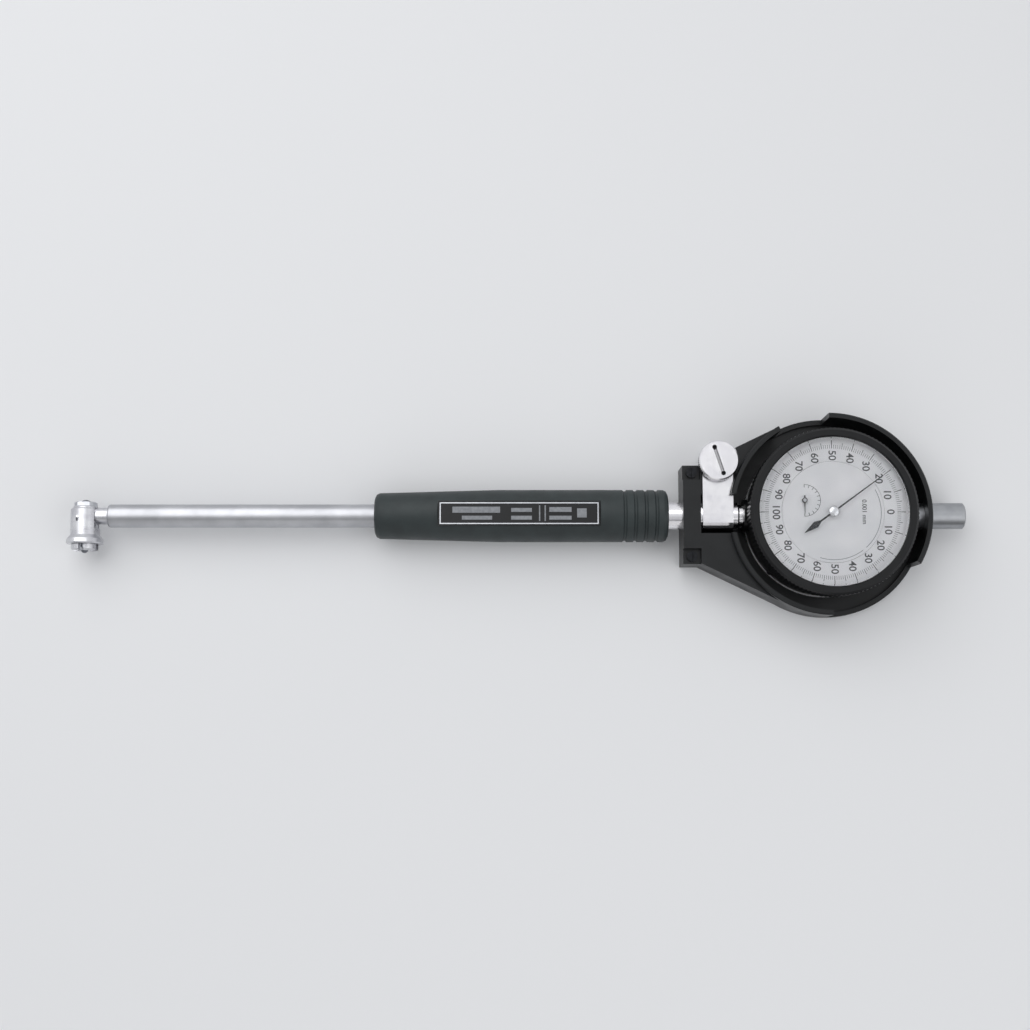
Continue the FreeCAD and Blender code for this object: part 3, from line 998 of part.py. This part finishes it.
doc.recompute()
for piece in doc.Objects:
    if "Invalid" in piece.State or "Error" in piece.State:
        raise RuntimeError(f"{piece.Label} failed: {piece.State}")
os.makedirs("parts", exist_ok=True)
for piece in NODES:
    if piece.Shape.isNull() or not piece.Shape.isValid():
        raise RuntimeError(f"{piece.Label} has no valid shape")
    piece.Shape.exportStep(f"parts/{piece.Label}.step")
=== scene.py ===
"""Looks of the dial bore gauge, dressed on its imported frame. Sizes are in millimetres until they are placed."""
import bpy
import bmesh
import math
from mathutils import Matrix, Vector


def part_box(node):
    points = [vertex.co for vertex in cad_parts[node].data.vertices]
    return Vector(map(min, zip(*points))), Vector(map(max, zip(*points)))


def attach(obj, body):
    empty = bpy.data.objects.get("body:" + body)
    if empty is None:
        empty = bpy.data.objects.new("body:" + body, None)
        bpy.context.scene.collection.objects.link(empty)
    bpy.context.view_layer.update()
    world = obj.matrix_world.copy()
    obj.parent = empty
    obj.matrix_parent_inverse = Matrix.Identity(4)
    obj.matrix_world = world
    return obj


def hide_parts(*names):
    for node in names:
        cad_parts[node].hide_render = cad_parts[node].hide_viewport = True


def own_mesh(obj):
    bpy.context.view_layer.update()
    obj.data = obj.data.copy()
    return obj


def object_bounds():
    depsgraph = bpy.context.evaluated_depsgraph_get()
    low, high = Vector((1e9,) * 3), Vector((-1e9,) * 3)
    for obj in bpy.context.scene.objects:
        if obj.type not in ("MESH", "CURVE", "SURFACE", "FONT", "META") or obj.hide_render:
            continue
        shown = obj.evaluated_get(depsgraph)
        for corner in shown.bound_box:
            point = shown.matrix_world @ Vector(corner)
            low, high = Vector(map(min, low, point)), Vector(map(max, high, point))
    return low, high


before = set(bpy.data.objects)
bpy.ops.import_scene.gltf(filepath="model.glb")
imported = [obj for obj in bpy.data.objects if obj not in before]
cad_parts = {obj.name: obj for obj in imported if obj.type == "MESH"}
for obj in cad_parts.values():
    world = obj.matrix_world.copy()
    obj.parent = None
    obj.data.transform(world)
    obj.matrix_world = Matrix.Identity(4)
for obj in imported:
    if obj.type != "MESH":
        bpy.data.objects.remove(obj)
cad_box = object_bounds()
MM = 0.001

# Room: a pale painted bench seen from almost straight above. A large window lamp, a fill and a low lamp light it
# softly, at a level where each colour shows about as it is written.
middle = (Vector(cad_box[0]) + Vector(cad_box[1])) / 2
elevation = math.radians(83)
distance = 0.53
camera = bpy.data.objects.new("camera", bpy.data.cameras.new("camera"))
camera.data.lens = 54
camera.data.clip_start = 0.01
camera.location = middle + distance * Vector((0, -math.cos(elevation), math.sin(elevation)))
camera.rotation_euler = (middle - camera.location).to_track_quat("-Z", "Y").to_euler()
bpy.context.scene.collection.objects.link(camera)
bpy.context.scene.camera = camera
bpy.context.scene.view_settings.view_transform = "Standard"


def srgb(code):
    """An sRGB hex colour as linear red, green, blue and alpha."""
    shares = [int(code[start:start + 2], 16) / 255 for start in (0, 2, 4)]
    return [c / 12.92 if c <= 0.04045 else ((c + 0.055) / 1.055) ** 2.4 for c in shares] + [1]


def add_node(tree, kind, inputs=(), **settings):
    """Adds a shader node with its settings, and gives each named input a value or a link."""
    made = tree.nodes.new("ShaderNode" + kind)
    for setting, value in settings.items():
        setattr(made, setting, value)
    for socket, value in dict(inputs).items():
        if isinstance(value, bpy.types.NodeSocket):
            tree.links.new(value, made.inputs[socket])
        else:
            made.inputs[socket].default_value = value
    return made


studio = bpy.data.worlds.new("studio")
bpy.context.scene.world = studio
studio.use_nodes = True
sky = studio.node_tree
ray = add_node(sky, "LightPath")
seen = add_node(sky, "Math", {0: ray.outputs["Is Camera Ray"], 1: ray.outputs["Is Glossy Ray"]},
                operation="MAXIMUM")
seen = add_node(sky, "Math", {0: seen.outputs[0], 1: ray.outputs["Is Transmission Ray"]}, operation="MAXIMUM")
level = add_node(sky, "MapRange", {"Value": seen.outputs[0], "To Min": 0.45, "To Max": 0.95})
# Bright metal mirrors a room that grows darker towards the near side, so that round pieces show their form.
toward = add_node(sky, "SeparateXYZ", {"Vector": add_node(sky, "TexCoord").outputs["Generated"]})
shade = add_node(sky, "MapRange", {"Value": toward.outputs["Y"], "From Min": -0.9, "From Max": 0.05,
                                   "To Min": 0.22, "To Max": 1})
mirrored = add_node(sky, "Mix", {"Factor": ray.outputs["Is Glossy Ray"], "A": 1, "B": shade.outputs["Result"]})
level = add_node(sky, "Math", {0: level.outputs["Result"], 1: mirrored.outputs["Result"]}, operation="MULTIPLY")
backdrop = sky.nodes["Background"]
backdrop.inputs["Color"].default_value = srgb("F4F5F7")
sky.links.new(level.outputs[0], backdrop.inputs["Strength"])

# Each lamp is square: its name, its place and side in metres, and its power in watts.
for lamp_name, place, side, power in (("window", (-0.35, 0.45, 0.75), 1.1, 5.2),
                                      ("fill", (0.55, -0.30, 0.60), 0.7, 1.3),
                                      ("low", (-0.10, -0.75, 0.30), 0.6, 0.7)):
    lamp = bpy.data.objects.new(lamp_name, bpy.data.lights.new(lamp_name, "AREA"))
    lamp.data.size = side
    lamp.data.energy = power
    lamp.location = place
    lamp.rotation_euler = (middle - lamp.location).to_track_quat("-Z", "Y").to_euler()
    bpy.context.scene.collection.objects.link(lamp)

bench_half = 3
bench = bpy.data.meshes.new("bench")
bench.from_pydata([(x * bench_half, y * bench_half, 0) for x, y in ((-1, -1), (1, -1), (1, 1), (-1, 1))], [],
                  [(0, 1, 2, 3)])
bench = bpy.data.objects.new("bench", bench)
bpy.context.scene.collection.objects.link(bench)
bench_paint = bpy.data.materials.new("bench_paint")
bench_paint.use_nodes = True
tree = bench_paint.node_tree
paint = tree.nodes["Principled BSDF"]
paint.inputs["Base Color"].default_value = srgb("EDEEF0")
paint.inputs["Roughness"].default_value = 0.8
# Beyond the lamps' reach the bench glows a little, so that it runs out into the pale backdrop.
away = add_node(tree, "VectorMath", {0: add_node(tree, "TexCoord").outputs["Object"]}, operation="LENGTH")
glow = add_node(tree, "MapRange", {"Value": away.outputs["Value"], "From Min": 0.6, "From Max": 2.2, "To Max": 0.5})
paint.inputs["Emission Color"].default_value = srgb("F4F5F7")
tree.links.new(glow.outputs["Result"], paint.inputs["Emission Strength"])
bench.data.materials.append(bench_paint)


# Measuring head, guide and their pins: hardened steel, turned and then ground bright. Fine rings from the
# turning run round the head's axis, handling leaves cloudy patches in the shine, and inner corners get painted
# shade.
def start_finish(name, colour, worn, patch, **surface):
    """A new finish whose colour drifts to a near one in patches of a size in millimetres.

    It gives the material, its tree, its shader, and coordinates in millimetres that travel with the piece.
    """
    material = bpy.data.materials.new(name)
    material.use_nodes = True
    tree = material.node_tree
    shader = tree.nodes["Principled BSDF"]
    for socket, value in surface.items():
        shader.inputs[socket.replace("_", " ").title().replace("Ior", "IOR")].default_value = value
    place = add_node(tree, "TexCoord")
    millimetres = add_node(tree, "VectorMath", {0: place.outputs["Object"], "Scale": 1 / MM}, operation="SCALE")
    drift = add_node(tree, "TexNoise", {"Vector": millimetres.outputs[0], "Scale": 1 / patch, "Detail": 4})
    share = add_node(tree, "MapRange", {"Value": drift.outputs["Fac"], "From Min": 0.35, "From Max": 0.65})
    tint = add_node(tree, "Mix", {0: share.outputs["Result"], 6: srgb(colour), 7: srgb(worn)}, data_type="RGBA")
    tree.links.new(tint.outputs[2], shader.inputs["Base Color"])
    return material, tree, shader, millimetres.outputs[0]


def grind_marks(tree, shader, millimetres, per_mm, depth, roughness):
    """Fine grooves, so many to the millimetre along each axis, and soft clouds in the shine.

    Real grooves lie a few hundredths of a millimetre apart, and are drawn several times as coarse to show.
    """
    lined = add_node(tree, "Mapping", {"Vector": millimetres, "Scale": per_mm})
    lines = add_node(tree, "TexNoise", {"Vector": lined.outputs[0], "Scale": 1, "Detail": 4, "Roughness": 0.6})
    clouds = add_node(tree, "TexNoise", {"Vector": millimetres, "Scale": 0.35, "Detail": 3})
    both = add_node(tree, "Math", {0: lines.outputs["Fac"], 1: clouds.outputs["Fac"]}, operation="ADD")
    shine = add_node(tree, "MapRange", {"Value": both.outputs[0], "From Min": 0.6, "From Max": 1.4,
                                        "To Min": roughness[0], "To Max": roughness[1]})
    tree.links.new(shine.outputs["Result"], shader.inputs["Roughness"])
    grooves = add_node(tree, "Bump", {"Height": lines.outputs["Fac"], "Distance": depth * MM, "Strength": 1})
    tree.links.new(grooves.outputs["Normal"], shader.inputs["Normal"])


def painted_recess_shade(tree, shader, shade_colour, reach):
    """Painted shade: darkens slots, holes and inner corners towards a dark colour, out to a reach in millimetres.
    """
    # Ambient occlusion marks the shut-in places, and painted shade is mixed into the colour there.
    shut_in = add_node(tree, "AmbientOcclusion", {"Distance": reach * MM}, samples=8, only_local=True)
    lit_share = add_node(tree, "MapRange", {"Value": shut_in.outputs["AO"], "From Min": 0.35, "From Max": 0.8})
    unshaded = shader.inputs["Base Color"].links[0].from_socket
    shaded = add_node(tree, "Mix", {0: lit_share.outputs["Result"], 6: srgb(shade_colour), 7: unshaded}, data_type="RGBA")
    tree.links.new(shaded.outputs[2], shader.inputs["Base Color"])


def dress(material, *nodes):
    """Gives solids of the frame their finish."""
    for name in nodes:
        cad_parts[name].data.materials.clear()
        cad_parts[name].data.materials.append(material)


ground_steel, tree, shader, millimetres = start_finish("ground_steel", "D2D3D6", "C2C2C7", 3, metallic=1)
grind_marks(tree, shader, millimetres, (0.3, 9, 0.3), 0.004, (0.22, 0.38))
painted_recess_shade(tree, shader, "3C3D40", 0.8)
dress(ground_steel, "measuring_head", "guide", "guide_stop_pin", "bell_crank_pin")

# Contact point and anvil: ground tool steel, each with a button of sintered carbide brazed in its end and lapped.
# The carbide is a darker, bluer grey than the steel, with a sharp edge between them.
button = 0.9
braze_line = 0.08
for tipped, far_end in (("contact_point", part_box("contact_point")[0][1]), ("anvil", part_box("anvil")[1][1])):
    tip_steel, tree, shader, millimetres = start_finish(tipped + "_steel", "C3C5C9", "B3B5BA", 2, metallic=1)
    grind_marks(tree, shader, millimetres, (0.3, 12, 0.3), 0.003, (0.22, 0.38))
    along = add_node(tree, "SeparateXYZ", {"Vector": millimetres})
    inward = add_node(tree, "Math", {0: along.outputs["Y"], 1: far_end / MM}, operation="SUBTRACT")
    inward = add_node(tree, "Math", {0: inward.outputs[0]}, operation="ABSOLUTE")
    steel_side = add_node(tree, "MapRange", {"Value": inward.outputs[0], "From Min": button,
                                             "From Max": button + braze_line})
    shank = shader.inputs["Base Color"].links[0].from_socket
    ends = add_node(tree, "Mix", {0: steel_side.outputs["Result"], 6: srgb("6E7177"), 7: shank}, data_type="RGBA")
    tree.links.new(ends.outputs[2], shader.inputs["Base Color"])
    dress(tip_steel, tipped)

# Bell crank, movement screws, spindle pin and hairspring: hardened spring steel. It is tumbled after hardening,
# which leaves an even dull grey with no direction in it.
spring_steel, tree, shader, millimetres = start_finish("spring_steel", "8F9196", "7C7D81", 1.5, metallic=1)
grind_marks(tree, shader, millimetres, (4, 4, 4), 0.004, (0.28, 0.45))
dress(spring_steel, "bell_crank", "movement_screws", "hairspring", "spindle_pin")


# Guide, rod and spindle springs: coiled from the same steel. Each is held at its far end and shortens as its slide
# moves; here a fixed copy of the solid, riding on the gauge, stands in for it. The spindle moves as far as the rod
# does.
def new_piece(name, mesh, material, body):
    """Links a finished mesh into the scene as a piece that rides on a body."""
    mesh.materials.clear()
    mesh.materials.append(material)
    piece = bpy.data.objects.new(name, mesh)
    bpy.context.scene.collection.objects.link(piece)
    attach(piece, body)
    return piece


X, Y = 0, 1
for node, joint, along in (("guide_spring", "guide_slide", Y), ("rod_spring", "rod_slide", X),
                           ("spindle_spring", "rod_slide", X)):
    near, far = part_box(node)
    held = [(low + high) / 2 for low, high in zip(near, far)]
    held[along] = far[along]
    coil = new_piece(node + "_coil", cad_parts[node].data.copy(), spring_steel, "gauge")
    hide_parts(node)
    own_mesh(coil)

# Long tube, push rod, spindle and pinions: drawn steel, hard chromed and centreless ground. That leaves a satin
# shine with fine rings round the tube, so a lamp shows on it as one long soft streak.
satin_chrome, tree, shader, millimetres = start_finish("satin_chrome", "BDBEC2", "AEAFB3", 9, metallic=1)
grind_marks(tree, shader, millimetres, (7, 0.25, 0.25), 0.006, (0.30, 0.44))
dress(satin_chrome, "long_tube", "push_rod", "spindle", "dial_contact", "rack_pinion", "counter_pinion",
      "centre_pinion")

# Holder tube, clamp, thumb screw and stem: milled and turned steel, plated with bright nickel and chrome. It is
# nearly a mirror, with painted shade darkening the slot, the holes and under the screw's head.
bright_plate, tree, shader, millimetres = start_finish("bright_plate", "EFEEF0", "E2E1E5", 5, metallic=1)
grind_marks(tree, shader, millimetres, (2, 0.4, 0.4), 0.002, (0.12, 0.24))
painted_recess_shade(tree, shader, "1E1E20", 1.6)
dress(bright_plate, "holder_tube", "clamp_ring", "clamp_screw", "stem")

# Bushes, plates, wheels, cock and posts: clock brass, punched or milled and left bare. It is warm yellow with
# duller tarnished patches.
clock_brass, tree, shader, millimetres = start_finish("clock_brass", "C9A656", "B08F48", 2, metallic=1)
grind_marks(tree, shader, millimetres, (3, 3, 3), 0.004, (0.22, 0.36))
dress(clock_brass, "rod_bush_front", "rod_bush_rear", "upper_bush", "lower_plate", "upper_plate",
      "movement_posts", "rack_cock", "first_wheel", "second_wheel", "hairspring_wheel", "hairspring_stud",
      "spindle_guide")


# Grip: ABS moulded in a spark-eroded tool and pushed over the tube. It is a dark grey-green, and its fine even
# grain spreads the shine, with painted shade darkening the ring grooves.
def moulded_grain(tree, shader, millimetres, grain, depth, roughness):
    """The pebbled grain of a spark-eroded mould, with slow unevenness in its dullness."""
    pebbles = add_node(tree, "TexVoronoi", {"Vector": millimetres, "Scale": 1 / grain}, feature="SMOOTH_F1")
    slow = add_node(tree, "TexNoise", {"Vector": millimetres, "Scale": 0.12, "Detail": 3})
    dull = add_node(tree, "MapRange", {"Value": slow.outputs["Fac"], "From Min": 0.3, "From Max": 0.7,
                                       "To Min": roughness[0], "To Max": roughness[1]})
    tree.links.new(dull.outputs["Result"], shader.inputs["Roughness"])
    relief = add_node(tree, "Bump", {"Height": pebbles.outputs["Distance"], "Distance": depth * MM, "Strength": 1})
    tree.links.new(relief.outputs["Normal"], shader.inputs["Normal"])


grip_abs, tree, shader, millimetres = start_finish("grip_abs", "272E2F", "2D3536", 6, ior=1.52,
                                                   specular_ior_level=0.35)
moulded_grain(tree, shader, millimetres, 0.35, 0.03, (0.42, 0.55))
painted_recess_shade(tree, shader, "15191A", 1)
dress(grip_abs, "grip")


# Nameplate: thin aluminium glued on the grip's flat, anodised black, with a border milled bare. Plain bars and a
# square in grey print stand where such plates have their words.
def flat_mesh(name, outlines, level, thick):
    """Thin raised patches: each outline is a list of (x, y) in millimetres, and level and thick are heights."""
    made = bmesh.new()
    for outline in outlines:
        lower = [made.verts.new((x * MM, y * MM, level * MM)) for x, y in outline]
        upper = [made.verts.new((x * MM, y * MM, (level + thick) * MM)) for x, y in outline]
        made.faces.new(upper)
        for here in range(len(outline)):
            after = (here + 1) % len(outline)
            made.faces.new((lower[here], lower[after], upper[after], upper[here]))
    bmesh.ops.recalc_face_normals(made, faces=made.faces)
    mesh = bpy.data.meshes.new(name)
    made.to_mesh(mesh)
    made.free()
    return mesh


def rectangle(left, right, low, high):
    """The outline of a rectangle between its four sides."""
    return [(left, low), (right, low), (right, high), (left, high)]


def box_mm(node):
    """A node's lowest and highest corners at rest, in millimetres."""
    return [[v / MM for v in corner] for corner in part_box(node)]


anodised, tree, shader, millimetres = start_finish("anodised_black", "08090B", "0E0F12", 4, ior=1.6,
                                                   specular_ior_level=0.25)
grind_marks(tree, shader, millimetres, (0.4, 8, 8), 0.002, (0.25, 0.38))
dress(anodised, "nameplate")
bare_aluminium, tree, shader, millimetres = start_finish("bare_aluminium", "C8CACE", "B6B8BD", 3, metallic=1)
grind_marks(tree, shader, millimetres, (0.4, 8, 8), 0.002, (0.25, 0.38))
plate_low, plate_high = box_mm("nameplate")
margin, line, sunk = 0.5, 0.35, 0.02
left, right = plate_low[0] + margin, plate_high[0] - margin
low, high = plate_low[1] + margin, plate_high[1] - margin
border = [rectangle(left, right, low, low + line), rectangle(left, right, high - line, high),
          rectangle(left, left + line, low + line, high - line),
          rectangle(right - line, right, low + line, high - line)]
new_piece("nameplate_border", flat_mesh("nameplate_border", border, plate_high[2] - sunk, 0.05), bare_aluminium,
          "gauge")

# Each field is given as shares of the border's length and width: start, end, bottom and top.
upper_row, lower_row, rule = (0.56, 0.74), (0.20, 0.38), (0.14, 0.86)
shares = [(0.08, 0.38, 0.52, 0.80), (0.14, 0.33, *lower_row), (0.45, 0.58, *upper_row), (0.45, 0.58, *lower_row),
          (0.625, 0.633, *rule), (0.66, 0.668, *rule), (0.69, 0.83, 0.56, 0.78), (0.69, 0.83, *lower_row),
          (0.865, 0.925, 0.30, 0.72)]
fields = [rectangle(left + start * (right - left), left + end * (right - left),
                    low + bottom * (high - low), low + top * (high - low)) for start, end, bottom, top in shares]
pale_print, tree, shader, millimetres = start_finish("pale_print", "8C8F94", "7B7E83", 1, roughness=0.5)
new_piece("nameplate_fields", flat_mesh("nameplate_fields", fields, plate_high[2] - sunk, 0.04), pale_print,
          "gauge")

# Dial case, bezel, back cover and spacer: die-cast and stoved in black lacquer. The thick lacquer is glossy, with
# a slight peel that breaks up its highlights.
black_lacquer, tree, shader, millimetres = start_finish("black_lacquer", "0A0B0D", "101113", 5, ior=1.5,
                                                        roughness=0.28, specular_ior_level=0.3)
peel = add_node(tree, "TexNoise", {"Vector": millimetres, "Scale": 0.9, "Detail": 2})
skin = add_node(tree, "Bump", {"Height": peel.outputs["Fac"], "Distance": 0.006 * MM, "Strength": 1})
tree.links.new(skin.outputs["Normal"], shader.inputs["Normal"])
dress(black_lacquer, "dial_case", "bezel", "back_cover", "spacer_ring")

# Top cap: aluminium, turned with rings round its axis and anodised clear. It screws over the spindle's tail, and
# is greyer and softer than the plated stem.
turned_cap, tree, shader, millimetres = start_finish("turned_cap", "A9ABAE", "9A9CA0", 5, metallic=1)
grind_marks(tree, shader, millimetres, (6, 0.3, 0.3), 0.006, (0.26, 0.40))
dress(turned_cap, "top_cap")

# Dial face: an aluminium disc and a scale ring, punched and sprayed white before the print goes on. The coat is
# matt and hides the metal.
face_white, tree, shader, millimetres = start_finish("face_white", "F0F0F3", "EAEAEE", 8, ior=1.5)
speck = add_node(tree, "TexNoise", {"Vector": millimetres, "Scale": 6, "Detail": 2})
satin = add_node(tree, "MapRange", {"Value": speck.outputs["Fac"], "To Min": 0.5, "To Max": 0.7})
tree.links.new(satin.outputs["Result"], shader.inputs["Roughness"])
dress(face_white, "dial_disc", "scale_ring")

# Scale: 200 divisions, numbered both ways from nought to a hundred, pad-printed in black on the ring that turns
# with the bezel. The top of the dial faces away from the stem. The ink is drawn thicker than it is, to be seen.
INK = 0.03
ink, tree, shader, millimetres = start_finish("black_ink", "1D1E23", "2C2D33", 0.8, roughness=0.5)
ring_low, ring_high = box_mm("scale_ring")
centre = ((ring_low[0] + ring_high[0]) / 2, (ring_low[1] + ring_high[1]) / 2)


def on_dial(radius, clock, about=centre):
    """The point at a radius and at an angle clockwise from the top of the dial, in degrees."""
    turn = math.radians(clock)
    return about[0] + radius * math.cos(turn), about[1] - radius * math.sin(turn)


def stroke(inner, outer, clock, width, about=centre):
    """A printed line along the dial's radius."""
    half = math.degrees(width / 2 / outer)
    return [on_dial(inner, clock - half, about), on_dial(outer, clock - half, about),
            on_dial(outer, clock + half, about), on_dial(inner, clock + half, about)]


divisions = 200
track = 21.6
ticks = []
for division in range(divisions):
    if division % 10 == 0:
        reach, width = 24.4, 0.24
    elif division % 5 == 0:
        reach, width = 23.6, 0.16
    else:
        reach, width = 22.9, 0.12
    ticks.append(stroke(track, reach, division * 360 / divisions, width))
new_piece("scale_marks", flat_mesh("scale_marks", ticks, ring_high[2], INK), ink, "bezel")


def lettering(name, words, level):
    """Printed words: each is (text, height, x, y), upright as seen with the stem towards the reader."""
    capital = 0.72
    bolder = 0.02
    made = bmesh.new()
    for text, tall, x, y in words:
        curve = bpy.data.curves.new("word", "FONT")
        curve.body = text
        curve.size = tall / capital * MM
        curve.align_x = "CENTER"
        curve.align_y = "CENTER"
        curve.extrude = INK / 2 * MM
        curve.offset = bolder * tall * MM
        word = bpy.data.objects.new("word", curve)
        bpy.context.scene.collection.objects.link(word)
        bpy.context.view_layer.update()
        flat = bpy.data.meshes.new_from_object(word)
        spot = Matrix.Translation((x * MM, y * MM, (level + INK / 2) * MM))
        flat.transform(spot @ Matrix.Rotation(-math.pi / 2, 4, "Z"))
        made.from_mesh(flat)
        bpy.data.objects.remove(word)
        bpy.data.meshes.remove(flat)
    mesh = bpy.data.meshes.new(name)
    made.to_mesh(mesh)
    made.free()
    return mesh


numbered = 20
numerals = [(str(10 * min(step, numbered - step)), 2.5, *on_dial(19.25, step * 360 / numbered))
            for step in range(numbered)]
new_piece("scale_numerals", lettering("scale_numerals", numerals, ring_high[2]), ink, "bezel")

# Fixed disc: printed with a grey arc for the range of use, the unit, and the small half-round scale of the turn
# counter. This print stays with the case when the bezel turns.
grey_ink, tree, shader, millimetres = start_finish("grey_ink", "85878D", "94969C", 1, roughness=0.5)
disc_top = box_mm("dial_disc")[1][2]


def strip(radius, first, last, width, about=centre):
    """A printed arc in short flat steps."""
    steps = max(2, round((last - first) / 4))
    edges = [first + (last - first) * step / steps for step in range(steps + 1)]
    return [[on_dial(radius - width / 2, a, about), on_dial(radius + width / 2, a, about),
             on_dial(radius + width / 2, b, about), on_dial(radius - width / 2, b, about)]
            for a, b in zip(edges, edges[1:])]


range_rad, range_line = 16.2, 0.22
use = strip(range_rad, -28, 48, range_line) + strip(range_rad, 53, 107, range_line)
new_piece("range_arc", flat_mesh("range_arc", use, disc_top, INK), grey_ink, "gauge")
counter_low, counter_high = box_mm("second_wheel")
counter = ((counter_low[0] + counter_high[0]) / 2, (counter_low[1] + counter_high[1]) / 2)
fan_rad = 5.4
fan = [stroke(fan_rad - 1, fan_rad, clock, 0.2, counter) for clock in range(-90, 91, 18)]
fan += strip(fan_rad, -90, 90, 0.14, counter)
new_piece("counter_scale", flat_mesh("counter_scale", fan, disc_top, INK), ink, "gauge")
new_piece("unit_print", lettering("unit_print", [("0.001 mm", 1.5, *on_dial(10.5, 0))], disc_top), ink,
          "gauge")

# Pointers: punched from thin steel and blued almost black by heat. The long one is riveted in a turned and
# polished hub, whose low dome catches the light.
blued_steel, tree, shader, millimetres = start_finish("blued_steel", "1B1D26", "101116", 1.2, metallic=1,
                                                      roughness=0.35)
dress(blued_steel, "long_pointer", "counter_pointer")


def lathed(name, axis, base, corners, around=48):
    """A turned piece about a line parallel to Z, from corners (radius, height over base) in millimetres."""
    made = bmesh.new()
    turns = [2 * math.pi * step / around for step in range(around)]
    rings = []
    for radius, height in corners:
        if radius == 0:
            rings.append([made.verts.new((axis[0] * MM, axis[1] * MM, (base + height) * MM))] * around)
        else:
            rings.append([made.verts.new(((axis[0] + radius * math.cos(turn)) * MM,
                                          (axis[1] + radius * math.sin(turn)) * MM, (base + height) * MM))
                          for turn in turns])
    for below, above in zip(rings, rings[1:]):
        for here in range(around):
            after = (here + 1) % around
            made.faces.new(list(dict.fromkeys((below[here], below[after], above[after], above[here]))))
    bmesh.ops.recalc_face_normals(made, faces=made.faces)
    mesh = bpy.data.meshes.new(name)
    made.to_mesh(mesh)
    made.free()
    mesh.shade_smooth()
    return mesh


polished, tree, shader, millimetres = start_finish("polished_hub", "D9DADD", "CBCCD1", 1, metallic=1)
grind_marks(tree, shader, millimetres, (6, 6, 6), 0.001, (0.15, 0.28))
dome = [(0, -0.1), (1.6, -0.1), (1.75, 0), (1.7, 0.12), (1.35, 0.26), (0.7, 0.34), (0, 0.36)]
new_piece("pointer_hub", lathed("pointer_hub", centre, box_mm("long_pointer")[1][2], dome), polished,
          "centre_arbor")

# Crystal: clear acrylic, moulded with a low crown and pressed into the bezel. Years of wiping leave a faint haze
# of scuffs in its gloss.
acrylic, tree, shader, millimetres = start_finish("acrylic", "FFFFFF", "FAFBFB", 12, ior=1.49,
                                                  transmission_weight=1)
scuffs = add_node(tree, "TexNoise", {"Vector": millimetres, "Scale": 0.5, "Detail": 6})
haze = add_node(tree, "MapRange", {"Value": scuffs.outputs["Fac"], "From Min": 0.4, "From Max": 0.8,
                                   "To Max": 0.05})
tree.links.new(haze.outputs["Result"], shader.inputs["Roughness"])
dress(acrylic, "crystal")

# Guard and its bar: ABS moulded black in a finer grain than the grip's, so it is a little glossier. The bar is
# screwed across the guard's neck.
guard_abs, tree, shader, millimetres = start_finish("guard_abs", "0D0F11", "141618", 7, ior=1.52,
                                                    specular_ior_level=0.3)
moulded_grain(tree, shader, millimetres, 0.3, 0.015, (0.30, 0.42))
dress(guard_abs, "guard", "guard_bar")

# Guard and cover screws: turned steel, chemically blackened. The coat is thin, so they keep a dull metal shine
# beside the plastic.
black_steel, tree, shader, millimetres = start_finish("black_steel", "2A2B2E", "1F2022", 1, metallic=0.9)
grind_marks(tree, shader, millimetres, (4, 4, 4), 0.003, (0.3, 0.45))
dress(black_steel, "guard_screws", "back_screws")
